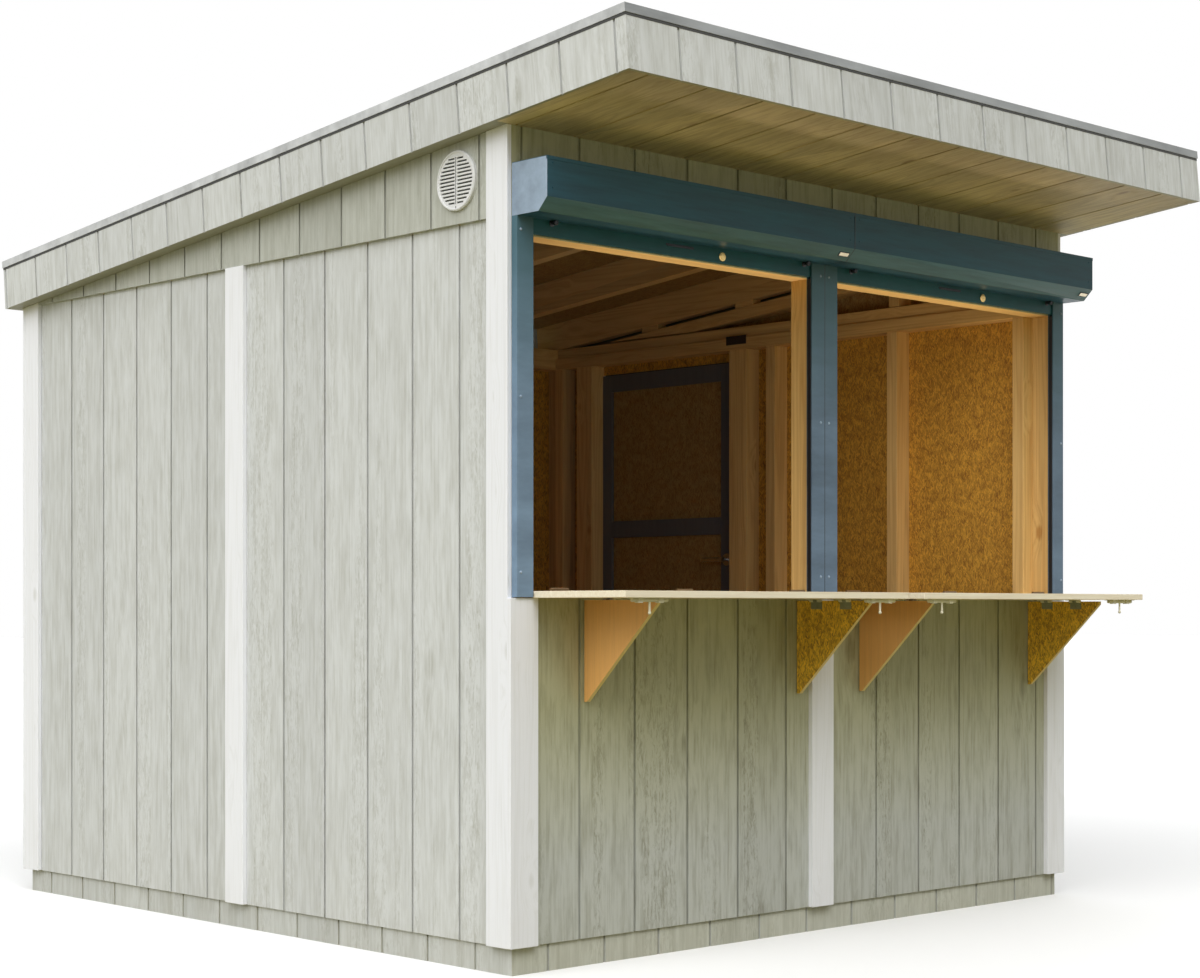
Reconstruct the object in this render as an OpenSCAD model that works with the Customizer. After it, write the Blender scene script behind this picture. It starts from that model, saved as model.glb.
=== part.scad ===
// Wooden market hut: grooved siding on timber frames, a mono-pitch roof that
// overhangs the front, two shuttered service openings with fold-up counters,
// and a ledged door in the right-hand wall.
// Millimetres. +Z is up, the service front faces -Y, the door side faces +X.
// The origin is on the ground, in the middle of the plinth.

/* [Hut] */
// Width over the side siding
hut_w = 2393; // [2100:1:3000]
// Length over the front and rear siding
hut_l = 2530; // [2300:1:3200]
// Height of the wall panels' top above the ground
wall_top = 1980; // [1900:1:2300]
// Thickness of the grooved siding
siding_t = 12; // [9:0.5:18]

/* [Siding grooves] */
// Spacing of the grooves
groove_pitch = 203.2; // [100:0.1:300]
// Width of a groove
groove_w = 8; // [4:0.5:12]
// Depth of a groove
groove_depth = 4; // [1:0.5:6]
// First groove of the side walls, from the front corner
side_groove_start = 213; // [20:1:280]
// First groove of the front and rear walls, from the left corner
front_groove_start = 237; // [20:1:280]
// First groove of the side plinth boards, from the front corner
side_plinth_groove_start = 149; // [20:1:280]
// First groove of the front plinth board, from the left corner
front_plinth_groove_start = 124; // [20:1:280]
// First groove of the gable panels, from the front corner
gable_groove_start = 117; // [20:1:280]
// First groove of the side fascias, from the front edge
side_fascia_groove_start = 41; // [20:1:280]
// First groove of the front fascia, from the left edge
front_fascia_groove_start = 180; // [20:1:280]
// First groove of the soffit, from the left edge
soffit_groove_start = 78; // [20:1:280]

/* [Floor and plinth] */
// Height of the floor and of the plinth boards
plinth_h = 74; // [60:1:160]
// Distance of the plinth face behind the siding face
plinth_setback = 8; // [2:0.5:11]
// Thickness of the plinth boards
plinth_t = 12; // [9:0.5:20]
// Thickness of the floor deck
deck_t = 18; // [12:0.5:28]
// Width of a floor joist
joist_w = 45; // [30:1:75]
// Number of floor joists
joist_count = 5; // [3:2:9]

/* [Wall frames] */
// Width of a stud or plate
stud_w = 45; // [35:1:60]
// Depth of a stud or plate
stud_d = 70; // [60:1:100]
// Thickness of the flat jamb boards of the service openings
jamb_t = 20; // [15:1:30]
// Width of the post between the service openings
mullion_w = 70; // [50:1:100]
// Distance of the side walls' middle studs from the hut's centre
side_stud_y = 610; // [400:1:800]
// Distance of the rear wall's middle studs from the hut's centre
rear_stud_x = 590; // [400:1:800]
// Gap between pieces that are cut to fit
cut_gap = 0.4; // [0.2:0.1:1]
// Slit between a gable frame and the rafter over it, bridged by spacer blocks
rafter_slit = 21; // [6:1:40]
// Length of a spacer block
spacer_len = 90; // [40:1:150]

/* [Door] */
// Distance of the doorway's middle in front of the middle of the wall's rear half
doorway_shift = 56; // [0:1:90]
// Width of the doorway
doorway_w = 773; // [600:1:800]
// Distance of the doorway's top below the wall panels' top
doorway_drop = 79; // [60:1:200]
// Gap round the door leaf
door_gap = 5; // [4:0.5:10]
// Height of the leaf's foot above the floor
door_foot_gap = 8; // [5:1:20]
// Width of the ledges on the back of the leaf
ledge_w = 66; // [40:1:100]
// Width of the stile on the hinge side
hinge_stile_w = 52; // [40:1:100]
// Width of the stile that carries the handles
lock_stile_w = 95; // [80:1:130]
// Thickness of the ledges and stiles
ledge_t = 12; // [8:1:25]
// Height of the middle ledge's lower edge above the ground
mid_ledge_z = 1242; // [900:1:1400]
// Height of the handle above the ground
handle_z = 1144; // [900:1:1230]
// Distance of the handle from the leaf's front edge
handle_inset = 58; // [40:1:70]
// Length of a door hinge
door_hinge_len = 100; // [60:1:150]
// Width of a door hinge's leaf
door_hinge_leaf_w = 38; // [20:1:60]
// Radius of a door hinge's knuckle
door_knuckle_r = 6; // [4:0.5:9]

/* [Service openings] */
// Height of the counters' underside and of the front siding's lower part
sill_z = 985; // [850:1:1100]
// Length of the sill boards inside the siding's back face
sill_inner = 93; // [75:1:160]
// Gap between a sill board and the rails beside it
sill_gap = 2; // [1:0.5:5]

/* [Counters] */
// Distance of the counters' inner ends from the hut's centre
counter_inset = 36; // [20:1:80]
// Distance of the counters' outer ends from the hut's sides
counter_end_inset = 55.5; // [40:0.5:200]
// Depth of a counter in front of its fold
counter_depth = 345; // [325:1:450]
// Thickness of the counters and sills
counter_t = 18; // [15:1:30]
// Gap along the fold, between counter and sill
fold_gap = 5; // [5:0.5:8]
// Length of a counter hinge
counter_hinge_len = 60; // [40:1:90]
// Width of a counter hinge's leaf
counter_hinge_leaf_w = 20; // [12:1:30]

/* [Brackets] */
// Height of a bracket
bracket_h = 272; // [200:1:320]
// Reach of a bracket away from the wall
bracket_reach = 280; // [200:1:290]
// Thickness of a bracket
bracket_t = 12; // [10:1:25]
// Gap over a bracket and behind it
bracket_gap = 5; // [5:0.5:8]
// Cut across the bracket's two tips
bracket_nose = 10; // [4:1:30]
// Left bracket of the left counter, from that end of the counter
left_counter_left_inset = 195; // [60:1:250]
// Right bracket of the left counter, from that end of the counter
left_counter_right_inset = 56; // [30:1:250]
// Left bracket of the right counter, from that end of the counter
right_counter_left_inset = 140; // [30:1:250]
// Right bracket of the right counter, from that end of the counter
right_counter_right_inset = 106; // [30:1:250]
// Length of a bracket hinge
bracket_hinge_len = 42; // [30:1:60]
// Width of a bracket hinge's leaf
bracket_hinge_leaf_w = 20; // [12:1:30]

/* [Hinges and bolts] */
// Radius of the counter and bracket hinges' knuckles
knuckle_r = 4.5; // [3:0.5:6]
// Thickness of the hinge leaves
leaf_t = 2; // [1:0.5:3]
// Running clearance inside a hinge
hinge_clear = 0.3; // [0.2:0.1:0.6]
// Length of a tower bolt's plate
bolt_len = 125; // [90:1:180]
// Width of a tower bolt's plate
bolt_w = 28; // [20:1:34]
// Radius of a tower bolt's rod
bolt_rod_r = 5; // [3:0.5:7]
// Length of the knob that hangs from a tower bolt
bolt_knob_len = 33; // [20:1:60]
// Distance of a tower bolt from the counter's end
bolt_inset = 40; // [10:1:120]
// Distance of a tower bolt's middle from the counter's front edge
bolt_edge = 19; // [18:1:30]

/* [Shutters] */
// Height of a shutter box
box_h = 138; // [110:1:180]
// Depth of a shutter box
box_d = 140; // [120:1:180]
// Chamfer along the lower front of a shutter box
box_chamfer = 34; // [15:1:50]
// Thickness of the box's sheet
box_sheet_t = 2; // [1:0.5:4]
// Distance of the shutter boxes' lower edges below the wall panels' top
box_drop = 3; // [0:0.5:20]
// Width of a guide rail
rail_w = 56; // [50:1:70]
// Thickness of a guide rail
rail_t = 22; // [18:1:30]
// Height of the rails' feet above the counters' underside
rail_foot = 2; // [0:1:15]
// Thickness of the shutter curtain
curtain_t = 10; // [7:0.5:12]
// Depth of the curtain's slot in a rail
rail_slot_d = 30; // [20:1:40]
// Length of the curtain that shows below its box
curtain_drop = 41; // [20:1:200]

/* [Trim] */
// Thickness of the white trim boards
trim_t = 15; // [12:1:25]
// Width of the corner boards on the sides
side_corner_w = 86; // [70:1:130]
// Width of the corner boards on the front and rear, which lap over the side boards' edges
end_corner_w = 94; // [70:1:120]
// Width of the middle boards
mid_trim_w = 95; // [80:1:120]

/* [Roof] */
// Fall of the roof towards the rear, in degrees
roof_slope = 5.32; // [3:0.01:8]
// Overhang in front of the siding, along the slope
front_overhang = 512; // [450:1:700]
// Overhang behind the rear siding, along the slope
rear_overhang = 49; // [35:1:200]
// Overhang beside the siding
side_overhang = 62; // [60:0.5:150]
// Height of the rafters' tops above the fascias' lower edges
rafter_h = 140; // [90:1:200]
// Height of the inner rafters' undersides above the fascias' lower edges
rafter_lift = 30; // [20:1:60]
// Width of a rafter
rafter_w = 45; // [35:1:45]
// Distance of the inner rafters from the hut's centre
rafter_x = 590; // [400:1:700]
// Thickness of the roof deck
roof_deck_t = 15; // [9:1:25]
// Thickness of the roof covering
roof_cover_t = 5; // [2:0.5:10]
// Thickness of the fascia boards and the soffit
fascia_t = 12; // [9:0.5:15]
// Height of the metal edge trim
edge_trim_h = 23; // [12:1:40]
// Thickness of the metal edge trim
edge_trim_t = 3; // [1:0.5:5]
// Width of the edge trim's flange on the roof
edge_trim_lap = 60; // [30:1:100]

/* [Vent] */
// Diameter of the round vent grille
vent_d = 160; // [100:1:165]
// Thickness of the vent grille
vent_t = 8; // [5:1:12]
// Distance of the vent's middle behind the front corner
vent_y = 205; // [190:1:400]
// Height of the vent's middle above the wall panels
vent_z = 114; // [90:1:116]
// Number of slits in the vent
vent_slits = 13; // [7:2:15]
// Depth of the slits
vent_slit_depth = 5; // [2:0.5:7]

/* [Hidden] */
$fn = 48;
// How far every cut runs past the faces that it opens
overrun = 5;
half_w = hut_w / 2;
half_l = hut_l / 2;
// Siding backs, which are the frames' outer planes
frame_x = half_w - siding_t;
frame_y = half_l - siding_t;
// Inner faces of the frames
inner_x = frame_x - stud_d;
inner_y = frame_y - stud_d;
spacer_shares = [0.115, 0.365, 0.615, 0.865];
plate_z = wall_top - stud_w;
// Plinth
plinth_x = half_w - plinth_setback;
plinth_y = half_l - plinth_setback;
floor_x = plinth_x - plinth_t;
floor_y = plinth_y - plinth_t;
// Doorway and leaf
doorway_top = wall_top - doorway_drop;
doorway_mid = half_l / 2 - doorway_shift;
doorway_front = doorway_mid - doorway_w / 2;
doorway_rear = doorway_mid + doorway_w / 2;
leaf_front = doorway_front + door_gap;
leaf_rear = doorway_rear - door_gap;
leaf_w = leaf_rear - leaf_front;
leaf_z = plinth_h + door_foot_gap;
leaf_h = doorway_top - door_gap - leaf_z;
door_axis_x = half_w + door_knuckle_r + hinge_clear;
door_axis_y = doorway_rear - door_gap / 2;
door_hinge_shares = [0.1, 0.5, 0.9];
handle_rose_share = 0.4;
handle_rose_r = handle_inset * handle_rose_share;
handle_rose_t = 8;
handle_neck_r = 8;
handle_neck_len = 34;
handle_lever_len = 115;
handle_lever_r = 9;
// Service openings
opening_in = mullion_w / 2;
opening_out = frame_x - jamb_t;
rail_in = rail_w;
rail_out = half_w - rail_w - cut_gap;
// Counters
sill_top = sill_z + counter_t;
hinge_seat = knuckle_r + hinge_clear;
fold_y = -half_l - rail_t - fold_gap / 2;
fold_z = sill_top + hinge_seat;
counter_rear = fold_y - fold_gap / 2;
counter_front = counter_rear - counter_depth;
counter_out = half_w - counter_end_inset;
counter_w = counter_out - counter_inset;
counter_hinge_shares = [0.08, 0.5, 0.92];
// Brackets: outer faces from left to right, and the way each one folds
bracket_faces = [
    -counter_out + left_counter_left_inset,
    -counter_inset - left_counter_right_inset,
    counter_inset + right_counter_left_inset,
    counter_out - right_counter_right_inset
];
bracket_inward = [1, -1, 1, -1];
bracket_y = -half_l - bracket_gap;
bracket_top = hinge_seat - bracket_gap;
bracket_hinge_shares = [0.28, 0.68];
// Tower bolts
bolt_plate_t = 2;
bolt_guide_len = 16;
bolt_guide_t = 2;
// How deep the rod lies in its plate
bolt_seat = 1;
bolt_knob_r = 3;
bolt_knob_end_r = 4.5;
bolt_guide_shares = [0.14, 0.72];
bolt_knob_share = 0.5;
// Shutters
box_z = wall_top - box_drop;
box_out = half_w - cut_gap;
curtain_clear = 0.5;
curtain_y = -half_l - rail_t / 2;
curtain_slot_w = curtain_t + 2 * curtain_clear;
curtain_lap_share = 0.6;
curtain_lap = rail_slot_d * curtain_lap_share;
curtain_rise = box_h / 3;
// Roof: distances along the slope run down from the rear wall's outer top edge
roof_front = -half_l * 2 / cos(roof_slope) - front_overhang;
roof_wall = -half_l * 2 / cos(roof_slope);
roof_rear = rear_overhang;
roof_x = half_w + side_overhang;
fascia_h = rafter_h + roof_deck_t + roof_cover_t;
// Gable panels stand proud of the siding below by their own thickness
gable_x = half_w + siding_t;
side_corner_inner = -half_l + side_corner_w;
trim_x = half_w + trim_t;
siding_color = "#b9bab2";
osb_color = "#9a7440";
pine_color = "#c9995c";
white_color = "#e8e8e4";
steel_color = "#aeb2b4";
shutter_color = "#5d7482";

// Height of the roof's underside above the ground at a place along the hut
function roof_z(y) = wall_top + (half_l - y) * tan(roof_slope);

// Height of what stands under the roof at a place along Y
function seat_z(y) = roof_z(y) - cut_gap;

// Height of what stands under the inner rafters at a place along Y
function beam_z(y) = seat_z(y) + rafter_lift;

// Place along Y where what stands under the inner rafters is that high
function beam_y(z) = half_l - (z + cut_gap - wall_top - rafter_lift) / tan(roof_slope);

// Places of the grooves that lie wholly inside a board
function groove_places(from, to, first) =
    let (low = ceil((from + groove_w - first) / groove_pitch),
        high = floor((to - groove_w - first) / groove_pitch))
    [for (k = [low : 1 : high]) first + k * groove_pitch];

// Plan of a grooved board along X, with its grooved face on y = 0
module grooved_plan(from, to, thick, first) {
    difference() {
        translate([from, 0]) square([to - from, thick]);
        for (g = groove_places(from, to, first))
            translate([g - groove_w / 2, -overrun]) square([groove_w, groove_depth + overrun]);
    }
}

// Upright grooved board in the front wall's plane
module front_board(from, to, low, high, plane, thick, first) {
    translate([0, -plane, low]) linear_extrude(high - low) grooved_plan(from, to, thick, first);
}

// Upright grooved board in the left wall's plane
module left_board(from, to, low, high, plane, thick, first) {
    translate([-plane, 0, low]) mirror([1, -1, 0])
        linear_extrude(high - low) grooved_plan(from, to, thick, first);
}

// Box between two corners
module span(low, high) {
    translate(low) cube(high - low);
}

// Prism along X with its outline in Y and Z
module side_prism(from, to, outline) {
    translate([from, 0, 0]) rotate([90, 0, 90]) linear_extrude(to - from) polygon(outline);
}

// Upright piece whose top is cut to the roof's underside
module under_roof(x_from, x_to, y_from, y_to, low, drop = 0) {
    side_prism(x_from, x_to, [
        [y_from, low], [y_to, low], [y_to, seat_z(y_to) - drop], [y_from, seat_z(y_from) - drop]
    ]);
}

module on_both_sides() {
    children();
    mirror([1, 0, 0]) children();
}

module on_both_ends() {
    children();
    mirror([0, 1, 0]) children();
}

module on_roof() {
    translate([0, half_l, wall_top]) rotate([-roof_slope, 0, 0]) children();
}

// One leaf of a butt hinge, its barrel along X, its leaf towards +Y and its back
// on a plane just below the barrel. The outer leaf has the two end knuckles.
module hinge_leaf(r, length, width, outer) {
    third = length / 3;
    knuckle_len = outer ? third - hinge_clear : third;
    starts = outer ? [-length / 2, third / 2 + hinge_clear] : [-third / 2];
    back = -r - hinge_clear;
    translate([-length / 2, -back, back]) cube([length, width, leaf_t]);
    for (s = starts) {
        translate([s, 0, 0]) rotate([0, 90, 0]) cylinder(h = knuckle_len, r = r);
        translate([s, 0, back]) cube([knuckle_len, width - back, leaf_t]);
    }
}

module floor_joists() {
    pitch = 2 * (floor_x - joist_w / 2) / (joist_count - 1);
    color(pine_color)
        for (k = [0 : joist_count - 1])
            translate([-floor_x + k * pitch, -floor_y, 0]) cube([joist_w, 2 * floor_y, plinth_h - deck_t]);
}

module floor_deck() {
    color(osb_color)
        span([-floor_x, -floor_y, plinth_h - deck_t], [floor_x, floor_y, plinth_h]);
}

module plinth_boards() {
    color(siding_color) {
        on_both_sides()
            left_board(-plinth_y, plinth_y, 0, plinth_h, plinth_x, plinth_t,
                side_plinth_groove_start - plinth_y);
        on_both_ends()
            front_board(-floor_x + cut_gap, floor_x - cut_gap, 0, plinth_h, plinth_y, plinth_t,
                front_plinth_groove_start - plinth_x);
    }
}

// Stud of a side wall, on the left, between its bottom and top plates
module side_stud(from, to) {
    span([-frame_x, from, plinth_h + stud_w + cut_gap], [-inner_x, to, plate_z - cut_gap]);
}

// Plate of a side wall, on the left
module side_plate(from, to, low) {
    span([-frame_x, from, low], [-inner_x, to, low + stud_w]);
}

module side_front_studs() {
    side_stud(-inner_y, -inner_y + stud_w);
    side_stud(-side_stud_y - stud_w / 2, -side_stud_y + stud_w / 2);
    side_stud(-stud_w, -cut_gap);
}

module left_wall_frame() {
    color(pine_color) {
        side_plate(-inner_y, inner_y, plinth_h);
        side_plate(-inner_y, inner_y, plate_z);
        on_both_ends() side_front_studs();
    }
}

module right_wall_frame() {
    color(pine_color) mirror([1, 0, 0]) {
        side_plate(-inner_y, doorway_front, plinth_h);
        side_plate(doorway_rear, inner_y, plinth_h);
        side_plate(-inner_y, inner_y, plate_z);
        side_front_studs();
        side_stud(doorway_front - 2 * stud_w, doorway_front);
        side_stud(doorway_rear, doorway_rear + 2 * stud_w);
        side_stud(inner_y - stud_w, inner_y);
    }
}

// Full-width plate in the front wall's frame
module end_plate(low) {
    span([-frame_x, -frame_y, low], [frame_x, -inner_y, low + stud_w]);
}

// Upright in the front wall's frame
module end_stud(from, to, low, high) {
    span([from, -frame_y, low + cut_gap], [to, -inner_y, high - cut_gap]);
}

module rear_wall_frame() {
    foot = plinth_h + stud_w;
    color(pine_color) {
        mirror([0, 1, 0]) {
            end_plate(plinth_h);
            on_both_sides() {
                end_stud(frame_x - stud_w, frame_x, foot, plate_z);
                end_stud(rear_stud_x - stud_w / 2, rear_stud_x + stud_w / 2, foot, plate_z);
                end_stud(cut_gap, stud_w, foot, plate_z);
            }
        }
        under_roof(-frame_x, frame_x, inner_y, frame_y, plate_z, -rafter_lift);
    }
}

module front_wall_frame() {
    foot = plinth_h + stud_w;
    rail_z = sill_z - stud_w;
    bay = (opening_out - opening_in) / 2;
    color(pine_color) {
        end_plate(plinth_h);
        end_plate(plate_z);
        end_stud(-mullion_w / 2, mullion_w / 2, foot, plate_z);
        on_both_sides() {
            end_stud(opening_out, frame_x, foot, plate_z);
            span([opening_in + cut_gap, -frame_y, rail_z], [opening_out - cut_gap, -inner_y, sill_z]);
            end_stud(opening_in + bay - stud_w / 2, opening_in + bay + stud_w / 2, foot, rail_z);
            end_stud(opening_out - stud_w - cut_gap, opening_out - cut_gap, foot, rail_z);
        }
    }
}

// Gable framing over the left wall, set out to carry the gable panel
module gable_frame() {
    out = -half_w;
    inside = out + stud_d;
    front = -inner_y + cut_gap;
    rear = inner_y - cut_gap;
    step_z = wall_top + stud_w;
    rear_z = min(step_z, beam_z(rear));
    side_prism(out, inside, [
        [front, wall_top], [rear, wall_top], [rear, rear_z], [min(beam_y(rear_z), rear), rear_z],
        [front, step_z]
    ]);
    foot_z = step_z + cut_gap;
    plate_drop = rafter_slit + stud_w;
    side_prism(out, inside, [
        [front, beam_z(front) - plate_drop], [beam_y(foot_z + plate_drop), foot_z],
        [beam_y(foot_z + rafter_slit), foot_z], [front, beam_z(front) - rafter_slit]
    ]);
    for (y = [front, -side_stud_y - stud_w / 2])
        under_roof(out, inside, y, y + stud_w, foot_z, plate_drop + cut_gap - rafter_lift);
    for (share = spacer_shares)
        roof_spacer(inside, front + share * (beam_y(foot_z + rafter_slit) - front));
}

// Block between the gable framing and the rafter over it
module roof_spacer(inside, y) {
    far = y + spacer_len;
    side_prism(inside - rafter_w, inside, [
        [y, beam_z(y) - rafter_slit + cut_gap], [far, beam_z(far) - rafter_slit + cut_gap],
        [far, beam_z(far)], [y, beam_z(y)]
    ]);
}

// Framing over the front wall's top plate
module front_header() {
    foot = wall_top + stud_w;
    head = roof_z(-inner_y) + rafter_lift - stud_w;
    span([-half_w, -frame_y, wall_top], [half_w, -inner_y, foot]);
    under_roof(-half_w, half_w, -frame_y, -inner_y, head, -rafter_lift);
    end_stud(-stud_w / 2, stud_w / 2, foot, head);
    on_both_sides() {
        end_stud(half_w - stud_w, half_w, foot, head);
        end_stud(rear_stud_x - stud_w / 2, rear_stud_x + stud_w / 2, foot, head);
    }
}

module upper_frame() {
    color(pine_color) {
        on_both_sides() gable_frame();
        front_header();
    }
}

module left_siding() {
    color(siding_color)
        for (part = [[-half_l, -cut_gap], [cut_gap, half_l]])
            left_board(part[0], part[1], plinth_h, wall_top, half_w, siding_t, side_groove_start - half_l);
}

module right_siding() {
    first = side_groove_start - half_l;
    color(siding_color) mirror([1, 0, 0]) {
        left_board(-half_l, -cut_gap, plinth_h, wall_top, half_w, siding_t, first);
        left_board(cut_gap, doorway_front, plinth_h, wall_top, half_w, siding_t, first);
        left_board(doorway_rear, half_l, plinth_h, wall_top, half_w, siding_t, first);
        left_board(doorway_front + cut_gap, doorway_rear - cut_gap, doorway_top, wall_top, half_w,
            siding_t, first);
    }
}

module rear_siding() {
    color(siding_color) mirror([0, 1, 0])
        for (part = [[-frame_x, -cut_gap], [cut_gap, frame_x]])
            front_board(part[0], part[1], plinth_h, wall_top, half_l, siding_t,
                front_groove_start - half_w);
}

// Siding under the service openings, with the strips between and beside them
module front_siding() {
    first = front_groove_start - half_w;
    color(siding_color) {
        for (part = [[-frame_x, -cut_gap], [cut_gap, frame_x]])
            front_board(part[0], part[1], plinth_h, sill_z, half_l, siding_t, first);
        span([-opening_in, -half_l, sill_z + cut_gap], [opening_in, -frame_y, plate_z - cut_gap]);
        on_both_sides()
            span([opening_out, -half_l, sill_z + cut_gap], [frame_x, -frame_y, plate_z - cut_gap]);
        span([-frame_x, -half_l, plate_z], [frame_x, -frame_y, wall_top]);
    }
}

module front_upper_siding() {
    color(siding_color) intersection() {
        under_roof(-half_w, half_w, -half_l, -frame_y, wall_top);
        front_board(-half_w, half_w, wall_top, roof_z(-half_l) + overrun, half_l, siding_t,
            front_groove_start - half_w);
    }
}

module gable_siding() {
    from = side_corner_inner;
    to = -side_corner_inner;
    color(siding_color) on_both_sides() intersection() {
        under_roof(-gable_x, -half_w, from, to, wall_top);
        left_board(from, to, wall_top, roof_z(from) + overrun, gable_x, siding_t,
            gable_groove_start - half_l);
    }
}

// Corner boards of the left side, which run up to the roof
module side_corner_boards() {
    under_roof(-trim_x, -half_w, -half_l, side_corner_inner, plinth_h);
    under_roof(-trim_x, -half_w, -side_corner_inner, half_l, plinth_h);
}

// Middle board of the left side, which ends under the gable panel
module side_mid_board() {
    span([-trim_x, -mid_trim_w / 2, plinth_h], [-half_w, mid_trim_w / 2, wall_top]);
}

module left_trim() {
    color(white_color) {
        side_corner_boards();
        side_mid_board();
    }
}

module right_trim() {
    color(white_color) mirror([1, 0, 0]) {
        side_corner_boards();
        side_mid_board();
    }
}

module rear_trim() {
    color(white_color) {
        under_roof(-mid_trim_w / 2, mid_trim_w / 2, half_l, half_l + trim_t, plinth_h);
        on_both_sides() under_roof(trim_x - end_corner_w, trim_x, half_l, half_l + trim_t, plinth_h);
    }
}

module front_trim() {
    low = [-half_l - trim_t, plinth_h];
    high = [-half_l, sill_z];
    color(white_color) {
        span([-mid_trim_w / 2, low[0], low[1]], [mid_trim_w / 2, high[0], high[1]]);
        on_both_sides() span([trim_x - end_corner_w, low[0], low[1]], [trim_x, high[0], high[1]]);
    }
}

module door_leaf() {
    color(siding_color) mirror([1, 0, 0])
        left_board(leaf_front, leaf_rear, leaf_z, leaf_z + leaf_h, half_w, siding_t,
            side_groove_start - half_l);
}

// Stiles and ledges on the back of the leaf
module door_ledges() {
    top = leaf_z + leaf_h;
    inside = frame_x - ledge_t;
    color("#2b2926") {
        span([inside, leaf_front, leaf_z], [frame_x, leaf_front + lock_stile_w, top]);
        span([inside, leaf_rear - hinge_stile_w, leaf_z], [frame_x, leaf_rear, top]);
        for (z = [leaf_z, mid_ledge_z, top - ledge_w])
            span([inside, leaf_front + lock_stile_w + cut_gap, z],
                [frame_x, leaf_rear - hinge_stile_w - cut_gap, z + ledge_w]);
    }
}

// Lever handle that stands up along +Z on a round rose, with its lever along +Y
module lever_handle() {
    cylinder(h = handle_rose_t, r = handle_rose_r);
    cylinder(h = handle_neck_len + handle_lever_r, r = handle_neck_r);
    translate([0, -handle_lever_r, handle_neck_len]) rotate([-90, 0, 0])
        cylinder(h = handle_lever_len, r = handle_lever_r);
}

module door_handles() {
    color(steel_color) translate([0, leaf_front + handle_inset, handle_z]) {
        translate([half_w, 0, 0]) rotate([0, 90, 0]) lever_handle();
        translate([frame_x - ledge_t, 0, 0]) rotate([0, -90, 0]) lever_handle();
    }
}

module at_door_hinges() {
    for (share = door_hinge_shares)
        translate([door_axis_x, door_axis_y, leaf_z + share * leaf_h]) rotate([0, 90, 0]) children();
}

module door_hinge_leaves() {
    color(steel_color) at_door_hinges()
        mirror([0, 1, 0]) hinge_leaf(door_knuckle_r, door_hinge_len, door_hinge_leaf_w, false);
}

module door_hinge_plates() {
    color(steel_color) at_door_hinges()
        hinge_leaf(door_knuckle_r, door_hinge_len, door_hinge_leaf_w, true);
}

// Sill board of each opening, notched round the side wall's corner post
module window_sills() {
    inner = rail_in + sill_gap;
    outer = rail_out - sill_gap;
    front = fold_y + fold_gap / 2;
    rear = -frame_y + sill_inner;
    notch_x = inner_x - cut_gap;
    notch_y = -inner_y - cut_gap;
    color(pine_color) on_both_sides()
        translate([0, 0, sill_z]) linear_extrude(counter_t)
            polygon([
                [inner, front], [outer, front], [outer, notch_y],
                [notch_x, notch_y], [notch_x, rear], [inner, rear]
            ]);
}

// Places of the fold hinges of the counter on the right
module at_fold_hinges() {
    for (share = counter_hinge_shares)
        translate([counter_inset + share * counter_w, fold_y, fold_z]) children();
}

module sill_hinges() {
    color(steel_color) on_both_sides() at_fold_hinges()
        hinge_leaf(knuckle_r, counter_hinge_len, counter_hinge_leaf_w, true);
}

module counter_board() {
    color("#e4d6b4")
        span([counter_inset, counter_front, sill_z], [counter_out, counter_rear, sill_top]);
}

module right_counter() {
    counter_board();
}

module left_counter() {
    mirror([1, 0, 0]) counter_board();
}

// Tower bolt under a counter, its plate's back on z = 0 and its rod along X
module tower_bolt() {
    rod_z = bolt_seat - bolt_plate_t - bolt_rod_r;
    guide_z = rod_z - bolt_rod_r - bolt_guide_t;
    guide_w = 2 * (bolt_rod_r + bolt_guide_t);
    translate([0, -bolt_w / 2, -bolt_plate_t]) cube([bolt_len, bolt_w, bolt_plate_t]);
    translate([0, 0, rod_z]) rotate([0, 90, 0]) cylinder(h = bolt_len, r = bolt_rod_r);
    for (share = bolt_guide_shares)
        translate([share * bolt_len, -guide_w / 2, guide_z]) cube([bolt_guide_len, guide_w, -guide_z]);
    translate([bolt_knob_share * bolt_len, 0, rod_z - bolt_knob_len]) {
        cylinder(h = bolt_knob_len, r = bolt_knob_r);
        sphere(r = bolt_knob_end_r);
    }
}

module counter_bolts() {
    y = counter_front + bolt_edge;
    translate([counter_inset + bolt_inset, y, sill_z]) tower_bolt();
    translate([counter_out - bolt_inset, y, sill_z]) mirror([1, 0, 0]) tower_bolt();
}

// Frame of a bracket's hinge: its axis along Y, the bracket on the -X side
module at_bracket(k) {
    inner_face = bracket_faces[k] + bracket_inward[k] * bracket_t;
    translate([inner_face + bracket_inward[k] * hinge_seat, bracket_y, sill_z - hinge_seat])
        mirror([bracket_inward[k] < 0 ? 1 : 0, 0, 0]) children();
}

module at_bracket_hinges(k) {
    at_bracket(k)
        for (share = bracket_hinge_shares)
            translate([0, -share * bracket_reach, 0]) children();
}

// Steel pieces of one counter: fold hinges, bracket hinges and tower bolts
module right_counter_fittings() {
    color(steel_color) {
        at_fold_hinges() mirror([0, 1, 0])
            hinge_leaf(knuckle_r, counter_hinge_len, counter_hinge_leaf_w, false);
        counter_bolts();
        for (k = [2, 3])
            at_bracket_hinges(k) rotate([180, 0, 90])
                hinge_leaf(knuckle_r, bracket_hinge_len, bracket_hinge_leaf_w, true);
    }
}

module left_counter_fittings() {
    color(steel_color) {
        mirror([1, 0, 0]) {
            at_fold_hinges() mirror([0, 1, 0])
                hinge_leaf(knuckle_r, counter_hinge_len, counter_hinge_leaf_w, false);
            counter_bolts();
        }
        for (k = [0, 1])
            at_bracket_hinges(k) rotate([180, 0, 90])
                hinge_leaf(knuckle_r, bracket_hinge_len, bracket_hinge_leaf_w, true);
    }
}

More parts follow.
